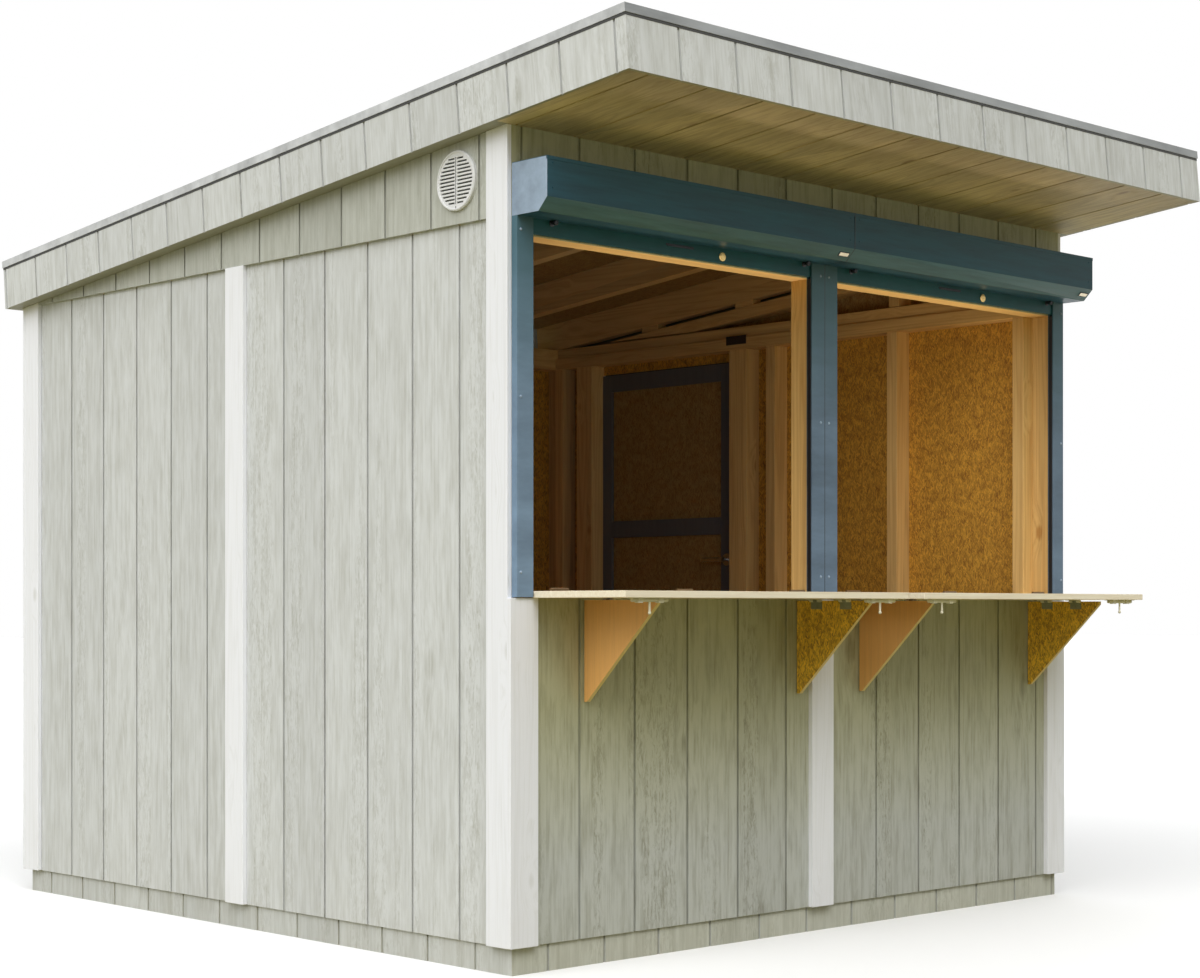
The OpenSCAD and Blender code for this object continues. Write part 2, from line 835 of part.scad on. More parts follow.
// Triangular bracket board under a counter
module bracket_board(k) {
    color("#cd915a") at_bracket(k)
        side_prism(-hinge_seat - bracket_t, -hinge_seat, [
            [0, bracket_top], [-bracket_reach, bracket_top], [-bracket_reach, bracket_top - bracket_nose],
            [-bracket_nose, bracket_top - bracket_h], [0, bracket_top - bracket_h]
        ]);
}

// Hinge leaves on a bracket's inner face
module bracket_leaves(k) {
    color(steel_color) at_bracket_hinges(k) rotate([-90, 0, -90])
        hinge_leaf(knuckle_r, bracket_hinge_len, bracket_hinge_leaf_w, false);
}

module left_outer_bracket() { bracket_board(0); }
module left_inner_bracket() { bracket_board(1); }
module right_inner_bracket() { bracket_board(2); }
module right_outer_bracket() { bracket_board(3); }
module left_outer_bracket_hinges() { bracket_leaves(0); }
module left_inner_bracket_hinges() { bracket_leaves(1); }
module right_inner_bracket_hinges() { bracket_leaves(2); }
module right_outer_bracket_hinges() { bracket_leaves(3); }

// Outline of a shutter box in Y and Z, shrunk by the sheet where inset is given
function box_outline(inset) = let (
    back = -half_l - inset,
    front = -half_l - box_d + inset,
    low = box_z + inset,
    high = box_z + box_h - inset,
    chamfer = box_chamfer - inset * (2 - sqrt(2))
) [[back, low], [front + chamfer, low], [front, low + chamfer], [front, high], [back, high]];

module shutter_box() {
    slot_from = rail_in + cut_gap;
    color(shutter_color) difference() {
        side_prism(cut_gap, box_out, box_outline(0));
        side_prism(cut_gap + box_sheet_t, box_out - box_sheet_t, box_outline(box_sheet_t));
        span([slot_from - curtain_lap, curtain_y - curtain_slot_w / 2, box_z - overrun],
            [rail_out + curtain_lap, curtain_y + curtain_slot_w / 2, box_z + box_sheet_t + overrun]);
    }
}

module right_shutter_box() {
    shutter_box();
}

module left_shutter_box() {
    mirror([1, 0, 0]) shutter_box();
}

// Guide rail along Z with its curtain slot open towards +X
module guide_rail() {
    translate([0, -half_l - rail_t, sill_z + rail_foot]) linear_extrude(box_z - sill_z - rail_foot)
        difference() {
            square([rail_w, rail_t]);
            translate([rail_w - rail_slot_d, rail_t / 2 - curtain_slot_w / 2])
                square([rail_slot_d + overrun, curtain_slot_w]);
        }
}

module shutter_rails() {
    color("#71889a") {
        translate([cut_gap, 0, 0]) guide_rail();
        translate([rail_out + rail_w, 0, 0]) mirror([1, 0, 0]) guide_rail();
    }
}

module right_shutter_rails() {
    shutter_rails();
}

module left_shutter_rails() {
    mirror([1, 0, 0]) shutter_rails();
}

// Lower end of the rolled-up curtain, which stays in its rails
module shutter_curtain() {
    color("#3f5f6c")
        span(
            [rail_in + cut_gap - curtain_lap + curtain_clear, curtain_y - curtain_t / 2,
                box_z - curtain_drop],
            [rail_out + curtain_lap - curtain_clear, curtain_y + curtain_t / 2, box_z + curtain_rise]);
}

module right_shutter_curtain() {
    shutter_curtain();
}

module left_shutter_curtain() {
    mirror([1, 0, 0]) shutter_curtain();
}

// Rafter inside the hut and over the soffit
module rafter(x) {
    front = roof_front + fascia_t;
    rear = roof_rear - fascia_t;
    span([x - rafter_w / 2, front, rafter_lift], [x + rafter_w / 2, rear, rafter_h]);
}

// Rafter behind a side fascia, cut back over the soffit
module eaves_rafter(x) {
    front = roof_front + fascia_t;
    rear = roof_rear - fascia_t;
    side_prism(x - rafter_w / 2, x + rafter_w / 2, [
        [front, fascia_t], [roof_wall, fascia_t], [roof_wall, 0], [rear, 0],
        [rear, rafter_h], [front, rafter_h]
    ]);
}

module rafters() {
    color(pine_color) on_roof() {
        rafter(0);
        on_both_sides() {
            rafter(rafter_x);
            rafter(half_w - stud_d + rafter_w / 2);
            eaves_rafter(roof_x - fascia_t - rafter_w / 2);
        }
    }
}

// Flat layer of the roof inside the fascias
module roof_layer(low, thick) {
    on_roof() span([-roof_x + fascia_t, roof_front + fascia_t, low],
        [roof_x - fascia_t, roof_rear - fascia_t, low + thick]);
}

module roof_deck() {
    color(osb_color) roof_layer(rafter_h, roof_deck_t);
}

module roof_covering() {
    color("#4a4c4e") roof_layer(rafter_h + roof_deck_t, roof_cover_t);
}

module fascia_boards() {
    color(siding_color) on_roof() {
        on_both_sides()
            left_board(roof_front, roof_rear, 0, fascia_h, roof_x, fascia_t,
                roof_front + side_fascia_groove_start);
        for (end = [roof_front, roof_rear])
            translate([0, end, 0]) mirror([0, end > 0 ? 1 : 0, 0])
                front_board(-roof_x + fascia_t + cut_gap, roof_x - fascia_t - cut_gap,
                    0, fascia_h, 0, fascia_t,
                    front_fascia_groove_start - roof_x);
    }
}

// Boarded underside of the front overhang, flush with the fascias' lower edges
module front_soffit() {
    color("#82693c") on_roof() translate([0, roof_wall, 0]) rotate([90, 0, 0])
        linear_extrude(front_overhang - fascia_t)
            grooved_plan(-roof_x + fascia_t, roof_x - fascia_t, fascia_t, soffit_groove_start - roof_x);
}

// Angle profile of the edge trim: its face on x = 0, its flange towards +X
module trim_profile() {
    polygon([
        [0, fascia_h + edge_trim_t - edge_trim_h], [edge_trim_t, fascia_h + edge_trim_t - edge_trim_h],
        [edge_trim_t, fascia_h], [edge_trim_lap, fascia_h],
        [edge_trim_lap, fascia_h + edge_trim_t], [0, fascia_h + edge_trim_t]
    ]);
}

// Strip across the front, whose lip goes on under the side strips to the corners
module end_strip(inside) {
    reach = roof_x - cut_gap;
    lip_h = edge_trim_h - edge_trim_t - cut_gap;
    translate([-inside, 0, 0]) rotate([90, 0, 90]) linear_extrude(2 * inside) trim_profile();
    translate([-reach, 0, fascia_h + edge_trim_t - edge_trim_h]) cube([2 * reach, edge_trim_t, lip_h]);
}

module edge_trim() {
    inside = roof_x + edge_trim_t - edge_trim_lap - cut_gap;
    color("#8d9193") on_roof() {
        on_both_sides()
            translate([-roof_x - edge_trim_t, roof_rear + edge_trim_t, 0]) rotate([90, 0, 0])
                linear_extrude(roof_rear - roof_front + 2 * edge_trim_t) trim_profile();
        translate([0, roof_front - edge_trim_t, 0]) end_strip(inside);
        translate([0, roof_rear + edge_trim_t, 0]) mirror([0, 1, 0]) end_strip(inside);
    }
}

// Round grille on the left gable panel: a flange, a domed rim and a slit face
module vent_grille() {
    r = vent_d / 2;
    rim_share = 0.86;
    slit_share = 0.5;
    rib_share = 0.06;
    pitch = 2 * r * rim_share / (vent_slits + 1);
    slit_h = pitch * slit_share;
    rib = vent_d * rib_share / 2;
    color(white_color) translate([-gable_x, -half_l + vent_y, wall_top + vent_z]) rotate([0, -90, 0])
        difference() {
            cylinder(h = vent_t, r = r);
            for (k = [1 : vent_slits], side = [0, 1]) {
                place = k * pitch - r * rim_share;
                reach = sqrt(pow(r * rim_share, 2) - pow(abs(place) + slit_h / 2, 2));
                mirror([0, side, 0]) translate([place - slit_h / 2, rib, vent_t - vent_slit_depth])
                    cube([slit_h, max(reach - rib, slit_h), vent_slit_depth + overrun]);
            }
        }
}

floor_joists();
floor_deck();
plinth_boards();
left_wall_frame();
right_wall_frame();
rear_wall_frame();
front_wall_frame();
upper_frame();
left_siding();
right_siding();
rear_siding();
front_siding();
front_upper_siding();
gable_siding();
left_trim();
right_trim();
rear_trim();
front_trim();
door_leaf();
door_ledges();
door_handles();
door_hinge_leaves();
door_hinge_plates();
window_sills();
sill_hinges();
left_counter();
right_counter();
left_counter_fittings();
right_counter_fittings();
left_outer_bracket();
left_inner_bracket();
right_inner_bracket();
right_outer_bracket();
left_outer_bracket_hinges();
left_inner_bracket_hinges();
right_inner_bracket_hinges();
right_outer_bracket_hinges();
left_shutter_box();
right_shutter_box();
left_shutter_rails();
right_shutter_rails();
left_shutter_curtain();
right_shutter_curtain();
rafters();
roof_deck();
roof_covering();
fascia_boards();
front_soffit();
edge_trim();
vent_grille();
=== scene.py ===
"""Looks of a wooden market hut: grooved siding, white trim, roller shutters,
fold-up counters and a boarded interior, dressed round the hut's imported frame."""

import math

import bmesh
import bpy
from mathutils import Matrix, Vector


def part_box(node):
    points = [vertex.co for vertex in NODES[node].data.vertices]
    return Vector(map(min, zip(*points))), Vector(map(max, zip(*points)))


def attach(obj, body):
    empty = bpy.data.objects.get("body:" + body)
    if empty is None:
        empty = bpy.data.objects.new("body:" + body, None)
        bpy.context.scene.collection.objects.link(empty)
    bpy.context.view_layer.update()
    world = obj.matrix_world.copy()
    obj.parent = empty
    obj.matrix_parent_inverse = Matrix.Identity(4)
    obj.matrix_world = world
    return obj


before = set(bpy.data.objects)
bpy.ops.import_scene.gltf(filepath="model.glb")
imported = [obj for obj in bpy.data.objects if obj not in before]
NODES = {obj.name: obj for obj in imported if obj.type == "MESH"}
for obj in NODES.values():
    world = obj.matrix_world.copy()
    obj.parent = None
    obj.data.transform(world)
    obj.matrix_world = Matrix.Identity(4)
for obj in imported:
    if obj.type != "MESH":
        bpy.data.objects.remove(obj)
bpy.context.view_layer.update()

bl_info = {
    "name": "Market hut",
    "version": (1, 0, 0),
    "blender": (4, 5, 0),
    "location": "View3D > Sidebar > Hut",
    "description": "Finishes and small fittings of a wooden market hut",
    "category": "Object",
}

MM = 0.001


def in_mm(*pairs):
    """Pairs of sizes that are written in millimetres."""
    return [(first * MM, second * MM) for first, second in pairs]


# Corners of the boarding, read from the frame

SIDE_LOW, SIDE_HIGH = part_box("left_siding")
FRONT_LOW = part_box("front_siding")[0]
PLINTH_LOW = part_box("plinth_boards")[0]
FASCIA_LOW, FASCIA_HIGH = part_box("fascia_boards")

# Siding: each run's first groove from its start, and its tints at the foot and higher up. The gable's tint is
# painted shade under the fascia; the end siding's tint is painted shade, darker and more olive towards the
# counters above; the plinths' tints make them darker.

FIRST_GROOVES = {
    "side siding": 213 * MM, "gable siding": 117 * MM, "end siding": 225 * MM, "rear siding": 225 * MM,
    "side plinth": 149 * MM, "end plinth": 124 * MM, "side fascia": -3011.9 * MM, "end fascia": 180 * MM}
TINTS = {
    "gable siding": ((0.77, 0.77, 0.70), (0.77, 0.77, 0.70)),
    "end siding": ((0.76, 0.765, 0.71), (0.70, 0.68, 0.43)),
    "side plinth": ((0.90, 0.90, 0.88), (0.90, 0.90, 0.88)),
    "end plinth": ((0.86, 0.85, 0.74), (0.86, 0.85, 0.74))}
SHADE_TINT_HEIGHTS = (0.28, 0.7)
END_STRENGTH = 1.7
DUST_TOP = 0.32
# Painted shade in the siding's grooves
GROOVE_SHADE_COLOUR = (0.10, 0.10, 0.085)
DUST_COLOUR = (0.40, 0.37, 0.30)
TRIM_DUST_COLOUR = (0.42, 0.38, 0.30)
TRIM_GRAIN = (0.55, 0.55, 0.52)

# Timber and strand board; each layer of flakes has a turn, a pitch along and a pitch across

LAYS = {"X": (0.0, math.pi / 2, 0.0), "Y": (math.pi / 2, 0.0, 0.0)}
STRAND_LAYERS = ((1.05, 80.0, 300.0), (1.42, 70.0, 270.0), (1.78, 88.0, 335.0), (2.25, 78.0, 290.0))
# A darker, bluer copy of the strand board for faces inside: painted shade, with a painted cool haze in its
# blue.
SHADED_STRAND_TINT = (0.55, 0.7, 2.0)
BRACKET_TINT = (1.3, 1.5, 1.0)
CUT_EDGE = (0.92, 0.74, 0.36)
CUT_EDGE_SHARE = 0.85
# Paler orange for the undersides of the rafters and the front frame: painted light from below.
UNDERSIDE_LIGHT_COLOUR = (0.95, 0.62, 0.25)
# Soffit: painted shade, darker towards its front edge between these depths.
SOFFIT_SHADE_DEPTHS = (-1.45, -1.72)
SOFFIT_PAINTED_SHADE = 0.62

# Depths of the finishes' relief

GRAIN_DEPTH = 0.6 * MM
PAINT_DEPTH = 0.5 * MM
STRAND_DEPTH = 0.8 * MM
FACING_DEPTH = 0.2 * MM
PEEL_DEPTH = 0.15 * MM
SCRATCH_DEPTH = 0.05 * MM
GRIT_DEPTH = 0.3 * MM

# How far a face's normal has to point along an axis to count as square, tilted or an edge

SQUARE = 0.9
CHAMFER_TILT = 0.3
EDGE_TILT = 0.5

# Edges and seats of the small pieces

SHARP = math.radians(40)
WELD_REACH = 0.01 * MM
SHEET_ROUND = 0.8 * MM
LEDGE_ROUND = 1 * MM
LAP_ROUND = 1 * MM
PULL_ROUND = 0.6 * MM
PLATE_ROUND = 0.5 * MM
STRIP_ROUND = 0.4 * MM
THIN_ROUND = 0.3 * MM
LIP_ROUND = 0.2 * MM
SEAT = 1 * MM

# Rivets and screws, as shares of their radius or of the hinge leaf

RIVET_SHARES = ((1.0, 0.15), (0.72, 0.5), (0.35, 0.62), (0.0, 0.65))
HINGE_LEAF = 2 * MM
SCREW_ROW_SHARE = 0.28
SCREW_SHARES = (0.18, 0.5, 0.82)
SCREW_RADIUS_SHARE = 0.1
BRACKET_TURNS = {
    "left_outer_bracket": -1, "left_inner_bracket": 1, "right_inner_bracket": -1, "right_outer_bracket": 1}

# Vent: the rim's distances from the edge and heights, and the marks' ends as shares of the radius

VENT_RIM = in_mm((7, -0.5), (5.5, 2), (2.5, 2), (0.5, -0.5))
VENT_SLIT_DEPTH = 2 * MM
VENT_MARK_SHARES = ((-0.78, 0.78), (-0.92, -0.84))
VENT_MARK_HALF = 1.2 * MM
VENT_MARK_PROUD = 0.3 * MM

# Bare plate on the wall plate inside

PLATE_FRONT, PLATE_REAR = 101 * MM, 205 * MM
PLATE_DROP, PLATE_RISE = 26 * MM, 7 * MM
PLATE_PROUD = 1.2 * MM
PLATE_RIVET = 2.5 * MM
PLATE_RIVET_INSET = 8 * MM
PLATE_RIVET_DROP = 9 * MM

# Laps of the roof's felt, and the dark strip of painted shadow on the fascias

LAP_SHARES = (1 / 3, 2 / 3)
LAP_WIDTH = 95 * MM
LAP_INSET = 70 * MM
LAP_RISE = 2 * MM
SHADOW_STRIP_DROP, SHADOW_STRIP_RISE = 7 * MM, 2 * MM
SHADOW_STRIP_PROUD = 1.2 * MM

# Seal in the door's head: a base and a narrower lip that ends over the leaf

DOOR_GAP = 5 * MM
HEAD_BASE = 1.5 * MM
HEAD_SEAT = 0.5 * MM
HEAD_INSET, HEAD_LIP_INSET = 1 * MM, 2 * MM
HEAD_CLEARANCE = 0.2 * MM

# Guide rails and their brushes

RAIL_WIDTH = 56 * MM
RAIL_RIVET = 4.2 * MM
RAIL_RIVET_HEIGHTS = (1.0515, 1.508, 1.942)
RAIL_RIVET_INSETS = (12.5 * MM, 17.6 * MM)
# Painted shade on the rails: a darker, greener colour towards the top, under the boxes.
RAIL_TOP_SHADE = (0.055, 0.13, 0.16)
RAIL_SHADE_HEIGHTS = (1.5, 1.92)
RAIL_SHADE_SHARE = 0.85
SHADED_FROM = -0.6
SHADED_TONE = 0.74
BRUSH_SIDES = in_mm((-7, -0.3), (0.3, 7))
BRUSH_SEAT, BRUSH_REACH = 0.3 * MM, 1.6 * MM
BRUSH_FOOT, BRUSH_HEAD = 3 * MM, 6 * MM

# Shutter boxes: rivets, lid, joint and plates, each plate with its half spans and its two heights

BOX_CHAMFER = 34 * MM
# Long streaks of tone on the box coating: painted reflection.
BOX_REFLECTION_STREAKS = (3.5, 26.0, 42.0)
BOX_RIVET = 2.8 * MM
BOX_RIVET_INSET = 20 * MM
BOX_RIVET_DROP, BOX_RIVET_RISE = 16 * MM, 58 * MM
# A lighter copy of the box coating for the chamfer, which faces down: painted light from the ground.
CHAMFER_LIGHT_COLOUR = (0.075, 0.17, 0.20)
COAT_SHINE = 0.2
LID_DROP, LID_RISE = 9 * MM, 0.8 * MM
LID_PROUD = 1.2 * MM
LID_LIP, LID_BACK = 4 * MM, 2 * MM
JOINT_HALF = 1.1 * MM
JOINT_PROUD = 0.3 * MM
JOINT_TOP = 1 * MM
BOX_PLATE_INSET = 30 * MM
BOX_PLATE_FRAME = in_mm((22, 8), (-0.5, 1.4))
BOX_PLATE = in_mm((19, 5.5), (1, 1.9))

# Lowest slat: lock, keyhole, pull and stops, with turned profiles as radius and height

LOCK_OFFSET, LOCK_HEIGHT = 168 * MM, 18 * MM
LOCK_PROFILE = in_mm(
    (0, -1), (13, -1), (13, 2), (12, 3.2), (9.2, 3.4), (8.8, 2.2), (8.2, 2.2), (8, 4.2), (0, 4.4))
KEYHOLE_HALF_WIDTH, KEYHOLE_HALF_HEIGHT = 1 * MM, 5 * MM
KEYHOLE_PROUD, KEYHOLE_FOOT = 4.8 * MM, 4 * MM
PULL_HEIGHT = 29 * MM
PULL_HALF_WIDTH, PULL_HALF_HEIGHT, PULL_PROUD = 54 * MM, 3 * MM, 1.6 * MM
GRIP_HALF_WIDTH, GRIP_LOW, GRIP_HIGH, GRIP_PROUD = 50 * MM, 4.4 * MM, 2.4 * MM, 5 * MM
STOP_HEIGHT = 35 * MM
STOP_INSETS = (86 * MM, 46 * MM)
STOP_PROFILE = in_mm((0, -1), (9, -1), (9, 1.5), (5, 2.5), (4.5, 12), (7, 13), (7, 19), (5.5, 21), (0, 21))

# Camera, fitted to the photograph's frame

PHOTO_WIDTH, PHOTO_HEIGHT = 1200.0, 978.0
FOCAL_PIXELS = 2233.15
PRINCIPAL_X, HORIZON_Y = 683.498, 608.202
CAMERA_PLACE = (-4.9584, -5.7021, 0.9583)
CAMERA_YAW = 0.7801
SENSOR = 36.0
FAR_CLIP = 200.0

# Floor, sky lobes as power, focus and direction, and lamps with their fans in degrees

FLOOR_REACH = 60.0
FLOOR_COLOUR = (0.90, 0.90, 0.89)
GROUND_BOUNCE = (0.2, 0.175, 0.02)
SKY_COLOUR = (0.985, 0.99, 1.0)
SKY_BASE = 0.25
SKY_LOBES = (
    (4.4, 10.0, (-0.80, -0.1, 0.59)),
    (7.0, 20.0, (-0.25, -0.62, 0.74)),
    (1.1, 4.0, (0.6, 0.7, 0.38)))
LAMPS = {
    "inside fill": {
        "power": 0.9, "colour": (1.0, 0.95, 0.92), "place": (0.3, -1.12, 1.45), "aim": (1.2, -0.75, 1.35),
        "spans": (0.4, 0.6), "fan": 110.0},
    "counter glow": {
        "power": 1.7, "colour": (1.0, 0.84, 0.6), "place": (0.0, -0.6, 1.15), "aim": (0.0, -1.17, 1.93),
        "spans": (2.1, 0.15), "fan": 45.0},
    "cool fill": {
        "power": 0.8, "colour": (0.25, 0.6, 1.0), "place": (-0.55, -0.9, 1.35), "aim": (0.4, 0.9, 1.8),
        "spans": (0.5, 0.5), "fan": 110.0}}


class HutSizes(bpy.types.PropertyGroup):
    """Sizes that the finishes and the small fittings follow."""

    groove_pitch: bpy.props.FloatProperty(
        name="Groove pitch", description="Spacing of the siding's grooves", default=203.2 * MM, unit="LENGTH")
    groove_width: bpy.props.FloatProperty(
        name="Groove width", description="Width of a siding groove", default=8 * MM, unit="LENGTH")
    roof_slope: bpy.props.FloatProperty(
        name="Roof slope", description="Fall of the roof towards the rear",
        default=math.radians(5.32), subtype="ANGLE")
    edge_round: bpy.props.FloatProperty(
        name="Edge round", description="Rounding of sawn and planed edges", default=1.5 * MM, unit="LENGTH")


class HutColours(bpy.types.PropertyGroup):
    """Colours that a user would change."""

    siding: bpy.props.FloatVectorProperty(
        name="Siding", description="Pale face of the grooved siding", subtype="COLOR",
        default=(0.60, 0.615, 0.615))
    siding_grain: bpy.props.FloatVectorProperty(
        name="Siding grain", description="Darker grain of the siding", subtype="COLOR",
        default=(0.36, 0.36, 0.32))
    trim: bpy.props.FloatVectorProperty(
        name="Trim", description="White corner and middle boards", subtype="COLOR",
        default=(0.815, 0.825, 0.87))
    pine: bpy.props.FloatVectorProperty(
        name="Pine", description="Planed pine framing", subtype="COLOR", default=(0.84, 0.56, 0.21))
    pine_grain: bpy.props.FloatVectorProperty(
        name="Pine grain", description="Late wood and knots of the framing", subtype="COLOR",
        default=(0.55, 0.28, 0.07))
    strand: bpy.props.FloatVectorProperty(
        name="Strand board", description="Pale strands of the raw panels", subtype="COLOR",
        default=(0.80, 0.43, 0.05))
    strand_dark: bpy.props.FloatVectorProperty(
        name="Strand board dark", description="Dark strands of the raw panels", subtype="COLOR",
        default=(0.24, 0.095, 0.01))
    soffit: bpy.props.FloatVectorProperty(
        name="Soffit", description="Boarded underside of the overhang", subtype="COLOR",
        default=(0.74, 0.62, 0.38))
    shutter: bpy.props.FloatVectorProperty(
        name="Shutter boxes", description="Coating of the shutter boxes", subtype="COLOR",
        default=(0.023, 0.082, 0.118))
    # A lighter copy of the box coating for the boxes' ends and the rail rivets: painted light.
    cap: bpy.props.FloatVectorProperty(
        name="End caps", description="Coating of the shutter boxes' cast ends", subtype="COLOR",
        default=(0.31, 0.395, 0.51))
    rail: bpy.props.FloatVectorProperty(
        name="Guide rails", description="Coating of the guide rails", subtype="COLOR",
        default=(0.17, 0.25, 0.35))
    counter: bpy.props.FloatVectorProperty(
        name="Counters", description="Lacquered pine of the counters", subtype="COLOR",
        default=(0.80, 0.66, 0.42))
    bracket: bpy.props.FloatVectorProperty(
        name="Bracket face", description="Tan facing of the brackets", subtype="COLOR",
        default=(0.80, 0.43, 0.13))


def sizes():
    """The hut's sizes as they are set."""
    return bpy.context.scene.hut_sizes


def colours():
    """The hut's colours as they are set."""
    return bpy.context.scene.hut_colours


# Shader building

def add(tree, kind, inputs=None, **settings):
    """A shader node with its settings, and its inputs set or linked."""
    made = tree.nodes.new("ShaderNode" + kind)
    for key, value in settings.items():
        setattr(made, key, value)
    for key, value in (inputs or {}).items():
        feed(tree, made.inputs[key], value)
    return made


def feed(tree, socket, value):
    """Link a socket to another one, or set its value."""
    if isinstance(value, bpy.types.NodeSocket):
        tree.links.new(value, socket)
    elif socket.type == "RGBA" and len(value) == 3:
        socket.default_value = (*value, 1.0)
    else:
        socket.default_value = value


def calc(tree, operation, *values, clamp=False):
    """The result of a sum on values or sockets."""
    made = add(tree, "Math", operation=operation, use_clamp=clamp)
    for socket, value in zip(made.inputs, values):
        feed(tree, socket, value)
    return made.outputs[0]


def weighed(tree, *terms, clamp=False):
    """The sum of values, each times its weight."""
    total = calc(tree, "MULTIPLY", *terms[0])
    for value, weight in terms[1:]:
        total = calc(tree, "MULTIPLY_ADD", value, weight, total)
    total.node.use_clamp = clamp
    return total


def vector_calc(tree, operation, *values, scale=None):
    """The result of a sum on vectors."""
    made = add(tree, "VectorMath", operation=operation)
    for socket, value in zip(made.inputs, values):
        feed(tree, socket, value)
    if scale is not None:
        feed(tree, made.inputs["Scale"], scale)
    return made.outputs["Vector"]


def pick(tree, share, first, second):
    """The first value, or the second where the share is 1."""
    made = add(tree, "Mix", data_type="FLOAT")
    for place, value in ((0, share), (2, first), (3, second)):
        feed(tree, made.inputs[place], value)
    return made.outputs[0]


def mix(tree, share, first, second, mode="MIX"):
    """Colour mix of two colours or sockets."""
    made = add(tree, "Mix", data_type="RGBA", blend_type=mode)
    for place, value in ((0, share), (6, first), (7, second)):
        feed(tree, made.inputs[place], value)
    return made.outputs[2]


def spread(tree, value, low, high, to_low=0.0, to_high=1.0):
    """A value taken from one range to another, clamped."""
    made = add(tree, "MapRange", {
        "Value": value, "From Min": low, "From Max": high, "To Min": to_low, "To Max": to_high})
    return made.outputs["Result"]


def noise(tree, place, scale, detail=3.0, roughness=0.55, distortion=0.0):
    """Even noise at one scale."""
    made = add(tree, "TexNoise", {
        "Vector": place, "Scale": scale, "Detail": detail, "Roughness": roughness, "Distortion": distortion})
    return made.outputs["Fac"]


def streaked(tree, place, stretch, detail=3.0, roughness=0.55, distortion=0.0):
    """Noise with its own scale along each axis."""
    return noise(tree, vector_calc(tree, "MULTIPLY", place, stretch), 1.0, detail, roughness, distortion)


def parts_of(tree, place):
    """The X, Y and Z of a place."""
    return add(tree, "SeparateXYZ", {"Vector": place}).outputs


def cell_shades(tree, cells):
    """Random values of a cell pattern's cells."""
    return add(tree, "SeparateColor", {"Color": cells.outputs["Color"]}).outputs


def shaded(tree, colour, tone):
    """A colour made lighter or darker by a value."""
    grey = add(tree, "CombineColor", {"Red": tone, "Green": tone, "Blue": tone}).outputs[0]
    return mix(tree, 1.0, colour, grey, "MULTIPLY")


def toned(colour, by):
    """A plain colour times a number, at most white."""
    return tuple(min(1.0, by * part) for part in colour)


# Shared effects

def new_group(name, inputs, outputs):
    """An empty shader group with named sockets: its tree, what it is given and what it puts out."""
    tree = bpy.data.node_groups.new(name, "ShaderNodeTree")
    for label, kind, default in inputs:
        socket = tree.interface.new_socket(label, in_out="INPUT", socket_type="NodeSocket" + kind)
        if default is not None:
            socket.default_value = default
    for label in outputs:
        tree.interface.new_socket(label, in_out="OUTPUT", socket_type="NodeSocketFloat")
    source = tree.nodes.new("NodeGroupInput")
    sink = tree.nodes.new("NodeGroupOutput")
    return tree, source.outputs, sink.inputs


def use_group(tree, name, inputs):
    """The outputs of a shared effect with its inputs set or linked."""
    made = add(tree, "Group", node_tree=bpy.data.node_groups[name])
    for key, value in inputs.items():
        feed(tree, made.inputs[key], value)
    return made.outputs


def make_wood_grain():
    """Grain along Z: streaks, bands, knots, a wavy figure and soft clouds, moved about by a seed."""
    tree, given, put = new_group(
        "Wood grain", [("Vector", "Vector", None), ("Seed", "Float", 0.0), ("Knot spacing", "Float", 4.0)],
        ("Streaks", "Bands", "Knots", "Figure", "Clouds"))
    shift = vector_calc(tree, "SCALE", (7.3, 11.9, 23.7), scale=given["Seed"])
    place = vector_calc(tree, "ADD", given["Vector"], shift)
    cells = add(tree, "TexVoronoi", {
        "Vector": vector_calc(tree, "MULTIPLY", place, (2.2, 2.2, 1.1)), "Scale": given["Knot spacing"]})
    chosen = calc(tree, "GREATER_THAN", cell_shades(tree, cells)[0], 0.62)
    knot = calc(tree, "MULTIPLY", spread(tree, cells.outputs["Distance"], 0.15, 0.07), chosen)
    halo = calc(tree, "MULTIPLY", spread(tree, cells.outputs["Distance"], 0.5, 0.1), chosen)
    bend = calc(tree, "MULTIPLY", halo, 0.022)
    bent = vector_calc(tree, "ADD", place, add(tree, "CombineXYZ", {"X": bend, "Y": bend}).outputs[0])
    rings = streaked(tree, bent, (20.0, 20.0, 0.75), 1.5, 0.5, 0.5)
    bands = calc(tree, "PINGPONG", calc(tree, "MULTIPLY", rings, 6.0), 0.5)
    heart = spread(tree, streaked(tree, place, (11.0, 11.0, 0.3), 0.0), 0.54, 0.66)
    waves = streaked(tree, place, (95.0, 95.0, 24.0), 4.0, 0.7, 1.6)
    feed(tree, put["Streaks"], streaked(tree, bent, (150.0, 150.0, 4.0), 3.0, 0.65))
    feed(tree, put["Bands"], calc(tree, "MULTIPLY", bands, 2.0))
    feed(tree, put["Knots"], knot)
    feed(tree, put["Figure"], calc(tree, "MULTIPLY", heart, calc(tree, "SUBTRACT", waves, 0.5)))
    feed(tree, put["Clouds"], streaked(tree, place, (42.0, 42.0, 8.0), 4.0, 0.62))


def make_board_split():
    """Which board of a grooved panel a place is on, and how near its groove."""
    tree, given, put = new_group(
        "Board split",
        [("Place", "Float", 0.0), ("First", "Float", 0.0),
         ("Pitch", "Float", 0.2), ("Groove", "Float", 0.008)],
        ("Random", "Groove"))
    steps = calc(tree, "DIVIDE", calc(tree, "SUBTRACT", given["Place"], given["First"]), given["Pitch"])
    number = calc(tree, "FLOOR", steps)
    random = add(tree, "TexWhiteNoise", {"W": calc(tree, "ADD", number, 0.37)}, noise_dimensions="1D")
    near = calc(tree, "MULTIPLY", calc(tree, "PINGPONG", steps, 0.5), given["Pitch"])
    outer, inner = (calc(tree, "MULTIPLY", given["Groove"], share) for share in (0.62, 0.4))
    feed(tree, put["Random"], random.outputs["Value"])
    feed(tree, put["Groove"], spread(tree, near, outer, inner))


